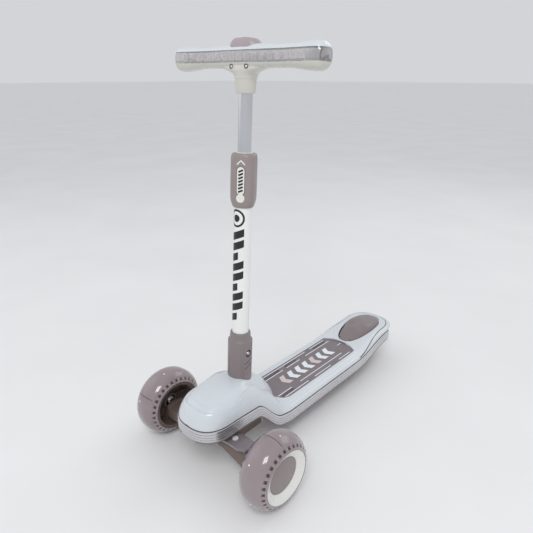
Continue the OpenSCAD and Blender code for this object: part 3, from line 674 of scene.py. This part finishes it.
def brake_pedal():
    """Hollow block with a thin rim, and two lugs that hold its pin."""
    shares = [math.cos(math.pi / 2 * k / 30) for k in range(31)]
    under = [pedal_ring(share, 0.94, 4) for share in reversed(shares)]
    rim = [pedal_ring(1, 1, drop) for drop in (5.5, 3.0, 1.0)]
    top = [pedal_ring(share, 1, 0) for share in shares]
    loft("brake_pedal_top", under + rim + top, TAUPE, "brake", ["brake_pedal"], 50)
    low = box_mm("brake_pedal")[0]
    pin_y = low.y + 13
    lugs = []
    for side in (-1, 1):
        outline = arc((pin_y, low.z + 6), 5.8, 180, 360, 16)
        outline += [(pin_y + 5.8, low.z + 20), (pin_y - 5.8, low.z + 19)]
        lugs.append(prism("lug", outline, -3, 3, upended(side * 12), TAUPE))
    merge("pedal_lugs", lugs, "brake")


def brake_shoe():
    """Curved friction block with three wear grooves."""
    low, high = box_mm("brake_shoe")
    shoe = block("friction_shoe", low, (high.x, high.y, high.z + 3), material=RUBBER, body="brake",
                 slot="black_rubber", replaced=["brake_shoe"])
    grooves = [block("g", (low.x - 1, REAR.y - 7 + 6 * i, low.z - 1),
                     (high.x + 1, REAR.y - 5.4 + 6 * i, low.z + 1)) for i in range(3)]
    cut(shoe, grooves)
    soften(shoe, 0.4, 2)


# Stem ----

def stem_collar():
    """Taupe collar: tall body, step, tapered ring with a rolled rim, and an oval hole for the button."""
    base, step, top = 32, COLLAR_TOP_S - 13, COLLAR_TOP_S
    profile = [(TUBE_R + 0.1, base), (20, base), (20, step - 3), (19.7, step - 1.6), (19.0, step - 0.6),
               (18.0, step - 0.2), (17.5, step + 0.6), (17.0, step + 2.2), (16.5, top - 2.6),
               (16.2, top - 1.2), (15.5, top - 0.3), (14.6, top), (TUBE_R + 0.1, top - 0.2)]
    collar = revolve("collar", profile, STEM, TAUPE, "deck", ["stem_collar"])
    oval = circle(6.8, 15, 5.2)
    hole = prism("hole", oval, TUBE_R - 0.5, 30, BUTTON_FRAME)
    slots = []
    for i in range(2):
        tilt = turned(BUTTON_FRAME @ Matrix.Translation((14 + 9 * i, 0, 0)), 32)
        slots.append(prism("slot", round_box(1.3, 17, 0.6, 3), 18.2, 30, tilt))
    cut(collar, [hole] + slots)
    # A dark ring inside the button hole, in front of the white tube, is painted shade in the hole.
    shade_ring = prism("button_shade_ring", oval, TUBE_R, TUBE_R + 0.7, BUTTON_FRAME, DEEP)
    cut(shade_ring, [prism("bore", circle(4.3, 15), 0, 30, BUTTON_FRAME)])
    merge("snap_hole_shade_ring", [shade_ring], "deck")


def snap_button():
    """Stem of the button with a domed end."""
    end = [(x, 16.5 + y) for x, y in arc((0, 0), 3.95, 0, 90, 10)]
    profile = [(0.01, 9.5), (4.4, 9.5), (4.4, 10.1), (3.95, 10.1)] + end[:-1] + [(0.01, 20.45)]
    revolve("snap_ball", profile, BUTTON_FRAME, STEEL, "snap_button", ["snap_button"], 48)


def wrapped(name, columns, rows, place, radius, material):
    """Sheet on a cylinder: place(u, v) gives arc length round the front and length along the stem."""
    points = []
    for i in range(rows + 1):
        for j in range(columns + 1):
            arc_mm, s = place(j / columns, i / rows)
            a = arc_mm / radius - math.pi / 2
            points.append(STEM @ Vector((radius * math.cos(a), radius * math.sin(a), s)))
    sheet = piece(name, points, sheet_faces(rows + 1, columns + 1), material)
    film = sheet.modifiers.new("film", "SOLIDIFY")
    film.thickness = 0.12 * MM
    film.offset = 0
    settle(sheet)
    return sheet


def tube_prints():
    """Plain graphic: slanted bars of uneven length under a ring, printed on the tube."""
    radius, first_s, bar_step, ring_s = TUBE_R + 0.12, 146, 16.6, 311
    films = []
    for i in range(9):
        s = first_s + bar_step * i
        width = 26 if i % 3 else 17
        films.append(wrapped("bar", 16, 2, lambda u, v: (
            -13 + width * u, s + 11.8 * v + 0.42 * (width * u - 13)), radius, INK))
    for name, inner, thick, columns, rows in (("ring", 10.5, 3, 48, 3), ("spot", 0, 5.5, 32, 4)):
        films.append(wrapped(name, columns, rows, lambda u, v: (
            (inner + thick * v) * math.sin(2 * math.pi * u),
            ring_s + (inner + thick * v) * math.cos(2 * math.pi * u)), radius, INK))
    merge("tube_graphic", films, "deck", ["tube_decals"])


def clamp_housing():
    """Rounded-square housing, drawn in at its foot and rolled over at its top."""
    sections = ((0, 30, 14), (1.2, 31.5, 14.4), (5, 33.6, 14.2), (10, 35.6, 13), (15, 36.4, 12.4),
                (40, 36.4, 12), (70, 36.0, 12), (74.5, 35.4, 12.2), (76.8, 34, 12.6), (78, 31, 13),
                (78.3, 27, 12.4))
    rings = [[CLAMP @ Vector((x, y, CLAMP_S + s)) for x, y in round_box(size, size, corner, 8)]
             for s, size, corner in sections]
    housing = loft("clamp_body", rings, CLAMP_TAUPE, "deck", ["clamp_housing"])
    seams = [block("seam", (x, -0.35, 5), (x + 22.4, 0.35, 74), CLAMP_FRAME) for x in (-40, 17.6)]
    cut(housing, [prism("bore", circle(TUBE_R, 6), CLAMP_S - 1, CLAMP_S + 80, STEM)] + seams)
    local = CLAMP.inverted() @ middle("lever_pin")
    lugs = []
    for side in (-1, 1):
        outline = arc((local.y, local.z), 5, -90, 90, 12)
        outline += [(local.y - 8.5, local.z + 7), (local.y - 8.5, local.z - 7)]
        lug = prism("lug", outline, -2.5, 2.5, upended(side * 8.5, CLAMP), CLAMP_TAUPE)
        soften(lug, 0.6, 2)
        lugs.append(lug)
    merge("clamp_lugs", lugs, "deck")


def clamp_badge():
    """Pale pill with a dark inlay, a chevron above it and a disc below."""
    face = CLAMP @ Matrix.Translation((0, -18.1, CLAMP_S)) @ FORWARD
    up = face @ Matrix.Translation((0, 40, 0))
    parts = [prism("pill", round_box(11, 40, 5.4, 8), -0.6, 0.5, up, RIM),
             prism("pill_edge", round_box(13, 42, 6.4, 8), -0.6, 0.2, up, DARK)]
    for i in range(7):
        slant = turned(Matrix.Translation((0, 14.4 - 4.8 * i, 0)), 24)
        parts.append(prism("mark", round_box(7.4, 2.5, 0.5, 2), 0.4, 0.75, up @ slant, INK))
    chevron = [(-6, 62), (0, 67.5), (6, 62), (6, 64.5), (0, 70), (-6, 64.5)]
    parts.append(prism("chevron", chevron, -0.6, 0.4, face, RIM))
    disc = [(x, y + 15) for x, y in arc((0, 0), 6.2, 0, 350, 35)]
    parts.append(prism("disc", disc, -0.8, 0.6, face, RIM))
    merge("clamp_marks", parts, "deck", ["clamp_badge"])


def lock_lever():
    """Cam lever that lies down the back of the clamp, with a flared finger end."""
    place = CLAMP @ Matrix.Translation(CLAMP.inverted() @ middle("lever_pin"))
    rings = []
    for z, half, front, back in ((-7.6, 9.6, -1.8, 2.6), (-9, 10.4, -2.3, 3.4), (-20, 10.8, -2.4, 3.9),
                                 (-34, 10.4, -2.2, 3.6), (-44, 10.8, -1.6, 3.9), (-49, 10.4, -0.6, 4.2),
                                 (-50.4, 9.0, 0.4, 4.0)):
        outline = round_box(2 * half, back - front, min(2.2, (back - front) / 2.2), 5)
        rings.append([place @ Vector((x, y + (front + back) / 2, z)) for x, y in outline])
    blade = loft("blade", rings, DARK)
    hub = [(0.01, -5.6), (4.7, -5.6), (5, -5.3), (5, 5.3), (4.7, 5.6), (0.01, 5.6)]
    cam = revolve("cam", hub, place @ SIDEWAYS, DARK, segments=40)
    neck = block("neck", (-5.4, -2.4, -12), (5.4, 3.2, -1), place)
    merge("lock_lever_blade", [blade, cam, neck], "lock_lever", ["lock_lever"])


# Handlebar ----

BAR_SHIFT = -3.2
LENS_LOW, LENS_HIGH = -6, 9


def bar_ring(x, grow=0.0, steps=60):
    """Section of the handlebar at x: slim between the hand ends, full in the middle and at the tips."""
    share = abs(x) / BAR_HALF
    swell = 1 - smooth(share / 0.4)
    flare = smooth((share - 0.55) / 0.38)
    tip = max(0, share - 0.915) / 0.085
    round_off = math.sqrt(max(0.0, 1 - 0.62 * tip ** 2.6))
    deep = (12.9 + 0.8 * swell + 3.1 * flare) * (0.2 + 0.8 * round_off) + grow
    top = (15.4 + 2.3 * (1 - smooth(share / 0.55)) + 2.4 * flare) * round_off + grow
    foot = (13.0 + 1.6 * swell + 4.2 * flare) * round_off + grow
    ring = []
    for i in range(steps):
        a = 2 * math.pi * i / steps
        c, s = math.cos(a), math.sin(a)
        y = BAR_SHIFT + deep * math.copysign(abs(c) ** 0.78, c)
        z = (top if s > 0 else foot) * math.copysign(abs(s) ** 0.78, s)
        ring.append(STEM @ Vector((x, y, BAR_S + z)))
    return ring


def bar_solid(name, material, grow=0.0):
    xs = [(BAR_HALF + grow) * math.sin(math.radians(a)) for a in range(-90, 91, 2)]
    return loft(name, [bar_ring(x, grow) for x in xs], material)


def keep_between(obj, low, high):
    """Cuts obj to a slab between two heights in the handlebar's frame, with closed faces."""
    shape = bmesh.new()
    shape.from_mesh(obj.data)
    for height, side in ((high, 1), (low, -1)):
        point = BAR_FRAME @ Vector((0, 0, height)) * MM
        normal = (BAR_FRAME.to_3x3() @ Vector((0, 0, side))).normalized()
        cutting = bmesh.ops.bisect_plane(shape, geom=shape.verts[:] + shape.edges[:] + shape.faces[:],
                                         plane_co=point, plane_no=normal, clear_outer=True)
        edges = [e for e in cutting["geom_cut"] if isinstance(e, bmesh.types.BMEdge)]
        bmesh.ops.holes_fill(shape, edges=edges)
    shape.to_mesh(obj.data)
    shape.free()
    return obj


def handlebar():
    """Two shells with the light band between them, and the neck that takes the tube."""
    upper = keep_between(bar_solid("upper", WHITE), LENS_HIGH + 0.3, 30)
    soften(upper, 0.5, 2, 50)
    merge("bar_top_shell", [upper], "handlebar", ["bar_upper"])
    # The lower shell takes the painted shade and floor reflection colour.
    lower = keep_between(bar_solid("lower", UNDERSHELL_SHADE_AND_BOUNCE), -30, LENS_LOW - 0.3)
    soften(lower, 0.5, 2, 50)
    rings = []
    for h, rx, ry, y in ((-45, 12.6, 12.6, 0), (-44.4, 13.3, 13.3, 0), (-43, 13.6, 13.6, 0),
                         (-27, 14.8, 14.8, 0), (-26.4, 15.4, 15.4, 0), (-24, 16.2, 15.5, 0),
                         (-21, 18.6, 15.2, -0.5), (-18.5, 23.0, 14.8, -1.5), (-16.4, 29, 14.0, -2.4),
                         (-14.6, 37, 13.2, BAR_SHIFT), (-13, 44, 12.4, BAR_SHIFT), (-9, 46, 11.5, BAR_SHIFT)):
        rings.append([STEM @ Vector((rx * math.cos(a), y + ry * math.sin(a), BAR_S + h))
                      for a in (math.pi * i / 36 for i in range(72))])
    neck = loft("neck", rings, UNDERSHELL_SHADE_AND_BOUNCE, sharp=30)
    merge("bar_under_shell", [lower, neck], "handlebar", ["bar_lower"])
    band = keep_between(bar_solid("band", CLEAR, -0.5), LENS_LOW - 0.2, LENS_HIGH + 0.2)
    merge("bar_light_band", [band], "handlebar", ["bar_lens"])
    core = keep_between(bar_solid("core", REFLECTOR, -3.4), LENS_LOW - 0.1, LENS_HIGH + 0.1)
    lamps = [core]
    lamp_step = 13.5
    for i in range(-8, 9):
        x = lamp_step * i
        front = min((STEM.inverted() @ point).y for point in bar_ring(x, -3.4))
        for half, height, depth, ink in ((5.2, 4.6, 0.5, TAPE), (1.5, 1.5, 0.9, LED)):
            lamps.append(block("lamp", (x - half, front - depth, BAR_S + 1 - height),
                               (x + half, front + 1, BAR_S + 1 + height), STEM, material=ink))
    merge("bar_lamp_row", lamps, "handlebar", ["bar_leds"])
    screws = []
    for side in (-1, 1):
        face = STEM @ Matrix.Translation((side * 14, -15.3, BAR_S - 11.2)) @ FORWARD
        # The near-black cup round each screw head is painted shade in the screw hole.
        shade_cup = [(0.01, -1.5), (3.2, -1.5), (3.2, 0.25), (2.5, 0.35), (2.3, -0.3), (0.01, -0.3)]
        head = [(0.01, -1), (1.9, -1), (1.9, -0.1), (1.5, 0.25), (0.01, 0.3)]
        screws.append(revolve("shade_cup", shade_cup, face, DEEP, segments=32))
        screws.append(revolve("head", head, face, STEEL, segments=32))
    merge("bar_screw_heads", screws, "handlebar", ["bar_screws"])


def bar_cap():
    """Low oval dome on the middle of the handlebar, round the light's push button."""
    rings = []
    for h, share in ((12, 1.0), (15, 1.0), (17.2, 0.98), (19.4, 0.93), (21.3, 0.85), (23, 0.74), (24.3, 0.6)):
        rings.append([BAR_FRAME @ Vector((x * share, BAR_SHIFT / 2 + y * (0.6 + 0.4 * share), h))
                      for x, y in round_box(50, 25, 12, 8)])
    cap = loft("cap", rings, BLUSH)
    cut(cap, [prism("bore", circle(8.5, 8), 5, 40, BAR_FRAME)])
    merge("bar_cap_dome", [cap], "handlebar", ["bar_cap"])
    top = box_mm("light_button")[1].z
    s = along_stem(Vector((0, middle("light_button").y, top))) - BAR_S
    heights = ((0.01, 10), (7.9, 10), (7.9, 1.6), (7.6, 0.9), (6.9, 0.55), (3, 0.75), (0.01, 0.8))
    face = [(r, s - h) for r, h in heights]
    revolve("light_push", face, BAR_FRAME, CAP, "light_button", ["light_button"], 64)


# Wheels ----

def wheel_place(side):
    centre = Matrix.Translation((side * TRACK / 2, AXLE.y, AXLE.z))
    return centre @ Matrix.Rotation(side * math.pi / 2, 4, "Y")


def tread_radius(t):
    """Radius of the barrel tread at t of its half width, a little lower on the shoulder band."""
    return WHEEL_R * (1 - 0.235 * abs(t) ** 2.5) - 0.7 * smooth((abs(t) - 0.755) / 0.03)


def front_tyre(side, word):
    """Barrel tread with a moulding step across it, shoulder windows and small lamps."""
    place, body = wheel_place(side), f"{word}_wheel"
    core = 43.4
    outer = [(tread_radius(i / 32), 0.985 * WHEEL_HALF * i / 32) for i in range(-32, 33)]
    lip = [(tread_radius(1) - 0.7, WHEEL_HALF), (core + 0.2, WHEEL_HALF), (core, WHEEL_HALF - 1)]
    profile = [(core, -WHEEL_HALF + 1), (core + 0.2, -WHEEL_HALF), (tread_radius(1) - 0.7, -WHEEL_HALF)]
    tyre = revolve(f"{word}_tread", profile + outer + lip, place, TREAD, body, [f"{word}_tyre"], 144)
    windows, window_shades, seams, lines = [], [], [], []
    r = tread_radius(0.88)
    for shoulder in (-1, 1):
        z = 0.86 * WHEEL_HALF * shoulder
        for i in range(30):
            turn = turned(place, 12 * i + 4)
            windows.append(block("w", (r - 2.6, -2.5, z - 1.9), (r + 6, 2.5, z + 1.9), turn))
            # A dark plate at the floor of each window is painted shade.
            window_shades.append(block("g", (r - 3.2, -2.4, z - 1.8), (r - 1.5, 2.4, z + 1.8), turn, material=TREAD_RECESS_SHADE))
    reach = WHEEL_HALF * 0.74
    for i in range(3):
        turn = turned(place, 120 * i + 63)
        seams.append(block("s", (WHEEL_R - 9, -0.6, -reach), (WHEEL_R + 4, 0.6, reach), turn))
        # A dark strip at the floor of the seam groove is painted shade.
        rings = [[turn @ Vector((tread_radius(j / 12) - drop, y, WHEEL_HALF * j / 12))
                  for drop, y in ((1.2, -0.7), (0.5, -0.7), (0.5, 0.7), (1.2, 0.7))] for j in range(-8, 9)]
        lines.append(loft("line", rings, TREAD_RECESS_SHADE))
    tunnel = [(tread_radius(i / 12) - 0.7, WHEEL_HALF * i / 12) for i in range(-9, 10)]
    keep = revolve("keep", [(30, -WHEEL_HALF), *tunnel, (30, WHEEL_HALF)], place, TREAD)
    seam = merge_loose("seam", seams)
    cut(seam, [keep])
    cut(tyre, [merge_loose("windows", windows), seam], 30)
    merge(f"{word}_tread_windows", lines + window_shades, body)
    lamps = []
    bead = [(0.01, -1), (1.5, -1)] + [(x, 0.5 * y) for x, y in arc((0, 0), 1.5, 0, 85, 6)] + [(0.01, 0.75)]
    for i in range(6):
        z = 5 * (-1) ** i
        spot = Matrix.Translation((tread_radius(z / WHEEL_HALF) - 0.3, 0, z))
        stud = turned(place, 60 * i + 52) @ spot @ SIDEWAYS
        lamps.append(revolve("lamp", bead, stud, LAMP_AND_GLINT, segments=20))
    merge(f"{word}_tread_lamps", lamps, body)


def merge_loose(name, pieces):
    """Joins cutters into one mesh."""
    joined = bmesh.new()
    for part in pieces:
        joined.from_mesh(part.data)
        bpy.data.objects.remove(part)
    mesh = bpy.data.meshes.new(name)
    joined.to_mesh(mesh)
    joined.free()
    return add_object(name, mesh)


def wheel_faces(side, word):
    """Dished rim, hub cap and the open inner side with its spokes."""
    place, body = wheel_place(side), f"{word}_wheel"
    face = WHEEL_HALF
    rim = [(29.7, 17.5), (43.3, 17.5), (43.3, face - 0.9), (42.8, face - 0.4), (42.2, face - 0.7),
           (31.2, face - 6.6), (30.2, face - 7.2), (29.7, face - 7.8)]
    revolve(f"{word}_rim", rim, place, RIM, body, [f"{word}_rim_ring"])
    cap = [(0.01, 15), (29.4, 15), (29.4, face - 8.2), (28.9, face - 7.7), (27, face - 7.4),
           (0.01, face - 6.6)]
    revolve(f"{word}_cap", cap, place, CAP, body, [f"{word}_hub_cap"])
    boss = abs(box_mm(f"{word}_bearings")[0 if side > 0 else 1].x) - TRACK / 2
    inner = [(9.5, 13.8), (9.5, boss), (12, boss), (13.6, boss + 1), (15.2, boss + 8), (16, 2.5), (34, 1.0),
             (36.2, -6), (37.4, -face + 2.2), (38.2, -face + 1.2), (43.3, -face + 0.8), (43.3, 13.8)]
    revolve(f"{word}_hub", inner, place, DARK, body, [f"{word}_core"])
    spokes = []
    for i in range(9):
        turn = turned(place, 40 * i)
        ring = [(14, 3), (14, boss + 5), (35.8, -9), (36, 3)]
        points = [turn @ Vector((r, y, h)) for y in (-1.1, 1.1) for r, h in ring]
        faces = [(0, 1, 2, 3), (7, 6, 5, 4)] + [(j, j + 4, (j + 1) % 4 + 4, (j + 1) % 4) for j in range(4)]
        spoke = piece("spoke", points, faces, DARK)
        soften(spoke, 0.5, 2)
        spokes.append(spoke)
    merge(f"{word}_hub_spokes", spokes, body)


def rear_wheel():
    place = Matrix.Translation((0, REAR.y, REAR.z)) @ SIDEWAYS
    outer = [(REAR_R * (1 - 0.16 * abs(i / 14) ** 2.6), REAR_HALF * 0.99 * i / 14) for i in range(-14, 15)]
    profile = [(26.1, -REAR_HALF), (31.4, -REAR_HALF)] + outer[1:-1] + [(31.4, REAR_HALF), (26.1, REAR_HALF)]
    revolve("rear_tread", profile, place, TREAD, "rear_wheel", ["rear_tyre"])
    hub = [(11.2, -REAR_HALF + 0.4), (13, -REAR_HALF), (14, -REAR_HALF), (15, -REAR_HALF + 3),
           (22, -REAR_HALF + 3), (23.6, -REAR_HALF + 0.6), (25.9, -REAR_HALF + 0.4)]
    hub += [(r, -h) for r, h in reversed(hub)]
    revolve("rear_hub", hub, place, DARK, "rear_wheel", ["rear_core"])


# Truck ----

BEAM_HALF = box_mm("truck_beam")[1].x
BEAM_TOP = box_mm("left_beam_cap")[0].z
BEAM_FOOT = box_mm("truck_beam")[0].z


def beam_bottom(x):
    """The beam's underside arches up in the middle."""
    return BEAM_FOOT + 11 * (1 - smooth((abs(x) - 24) / 50))


def truck_beam():
    """Arched beam with full ends, fins by the wheels and a clear way for the steering block."""
    rings = []
    for i in range(-48, 49):
        x = BEAM_HALF * i / 48
        share = abs(x) / BEAM_HALF
        tip = max(0, share - 0.95) / 0.05
        half = (15.2 + 2.6 * smooth((share - 0.5) / 0.4)) * math.sqrt(1 - 0.35 * tip * tip)
        low, high = beam_bottom(x) + 2.2 * tip * tip, BEAM_TOP - 2 * tip * tip
        outline = round_box(2 * half, high - low, 6.5, 6)
        rings.append([(x, AXLE.y + y, (low + high) / 2 + z) for y, z in outline])
    beam = loft("beam_body", rings, DARK, "truck", ["truck_beam"])
    tilt = math.atan2(-JOINTS["lean_steer"]["axis"][1], JOINTS["lean_steer"]["axis"][2])
    king = Matrix.Translation(Vector(JOINTS["lean_steer"]["pos_m"]) / MM) @ Matrix.Rotation(tilt, 4, "X")
    rooms = [prism("room", circle(30, 5), low, high, king) for low, high in ((9, 70), (-70, -9))]
    fins = []
    for side in (-1, 1):
        for i in range(5):
            x = side * (82.5 + 3.6 * i)
            fins.append(block("fin", (x - 0.8, AXLE.y - 24, BEAM_TOP - 5),
                              (x + 0.8, AXLE.y + 24, BEAM_TOP + 5)))
    cut(beam, rooms + [merge_loose("fins", fins)])
    cut(beam, [prism("bore", circle(5.2, 10), -40, 40, king)])
    hub = [(5.1, -9), (13.6, -9), (15, -7.6), (15, 7.6), (13.6, 9), (5.1, 9)]
    revolve("beam_hub", hub, king, DARK, "truck")


def beam_caps():
    """Glossy top plates with a wavy front edge, over each arm of the beam."""
    for side, word in ((-1, "right"), (1, "left")):
        low, high = box_mm(f"{word}_beam_cap")
        outline = []
        steps = 30
        for i in range(steps + 1):
            x = 22 + 56 * i / steps
            wave = 2.5 * math.sin(math.pi * (x - 30) / 42) if x > 30 else 0
            outline.append((x, AXLE.y - 15.8 + 5 * smooth((x - 62) / 12) + wave * 0.6))
        for centre_x, start in ((74, 0), (27, 90)):
            outline += [(x, AXLE.y + y) for x, y in arc((centre_x, 11), 5, start, start + 90, 6)]
        outline = [(side * x, y) for x, y in outline]
        plate = prism(f"{word}_plate", outline, low.z - 1.5, high.z - 0.2, Matrix(), PLATE, "truck", "taupe",
                      [f"{word}_beam_cap"])
        soften(plate, 1.1, 4)


# CAD nodes that stay, with their own materials ----

def paint_frame():
    chosen = {STEEL: ["tray_screws", "battery_cells", "stem_socket", "kingpin", "rear_axle", "brake_pin",
                      "lever_pin", "left_axle", "right_axle", "left_bearings", "right_bearings",
                      "rear_bearings"],
              DARK: ["steer_mount", "rear_bracket", "battery_box"],
              BOARD: ["control_board"], RUBBER: ["steer_bushings"],
              # The steel beam rivets take this bright white as a painted highlight.
              PAINT: ["stem_tube"], SILVER: ["inner_tube"], RIM: ["guide_bush"], LAMP_AND_GLINT: ["beam_rivets"]}
    for material, names in chosen.items():
        for name in names:
            mesh = frame["nodes"][name].data
            for i in range(len(mesh.materials)):
                mesh.materials[i] = material


# Floor, light and camera ----

CAMERA_PLACE = (0.5062, -0.6616, 0.6094)
CAMERA_ANGLES = (68.7, 0.0, 42.2)
CAMERA_LENS = 33.24


def stage():
    material, tree, shader = nodes_of("floor")
    tint = ramp(tree, noise(tree, 3), (0.86, 0.86, 0.86), (0.90, 0.90, 0.90))
    tree.links.new(tint, shader.inputs["Base Color"])
    shader.inputs["Roughness"].default_value = 0.75
    mesh = bpy.data.meshes.new("floor")
    reach = 40.0
    corners = [(-reach, -reach, 0), (reach, -reach, 0), (reach, reach, 0), (-reach, reach, 0)]
    mesh.from_pydata(corners, [], [(0, 1, 2, 3)])
    mesh.materials.append(material)
    floor = add_object("floor", mesh)
    world = bpy.data.worlds.new("studio")
    world.use_nodes = True
    world.node_tree.nodes["Background"].inputs["Color"].default_value = (0.95, 0.97, 1.0, 1)
    world.node_tree.nodes["Background"].inputs["Strength"].default_value = 0.68
    bpy.context.scene.world = world
    bpy.context.scene.view_settings.view_transform = "Standard"


def area_light(name, place, target, size, power):
    lamp = bpy.data.lights.new(name, "AREA")
    lamp.shape = "RECTANGLE"
    lamp.size, lamp.size_y = size
    lamp.energy = power
    obj = add_object(name, lamp)
    obj.location = place
    obj.rotation_euler = (Vector(target) - Vector(place)).to_track_quat("-Z", "Y").to_euler()


def lights_and_camera():
    area_light("key", (0.9, -1.3, 1.9), (0, -0.05, 0.2), (0.8, 0.8), 15)
    area_light("left_fill", (-1.6, -0.9, 1.2), (0, 0, 0.25), (1.5, 1.5), 3)
    area_light("back", (0.3, 1.8, 1.6), (0, 0, 0.3), (1.6, 1.0), 5)
    camera = bpy.data.cameras.new("camera")
    camera.sensor_width = 36
    camera.lens = CAMERA_LENS
    obj = add_object("camera", camera)
    obj.location = CAMERA_PLACE
    obj.rotation_euler = [math.radians(a) for a in CAMERA_ANGLES]
    bpy.context.scene.camera = obj


stage()
lights_and_camera()
paint_frame()
deck_cover()
grip_insert()
deck_lines()
deck_marks()
light_strip()
floor_pan()
battery_door()
brake_pedal()
brake_shoe()
stem_collar()
snap_button()
tube_prints()
clamp_housing()
clamp_badge()
lock_lever()
handlebar()
bar_cap()
for wheel_side, wheel_word in ((1, "left"), (-1, "right")):
    front_tyre(wheel_side, wheel_word)
    wheel_faces(wheel_side, wheel_word)
rear_wheel()
truck_beam()
beam_caps()
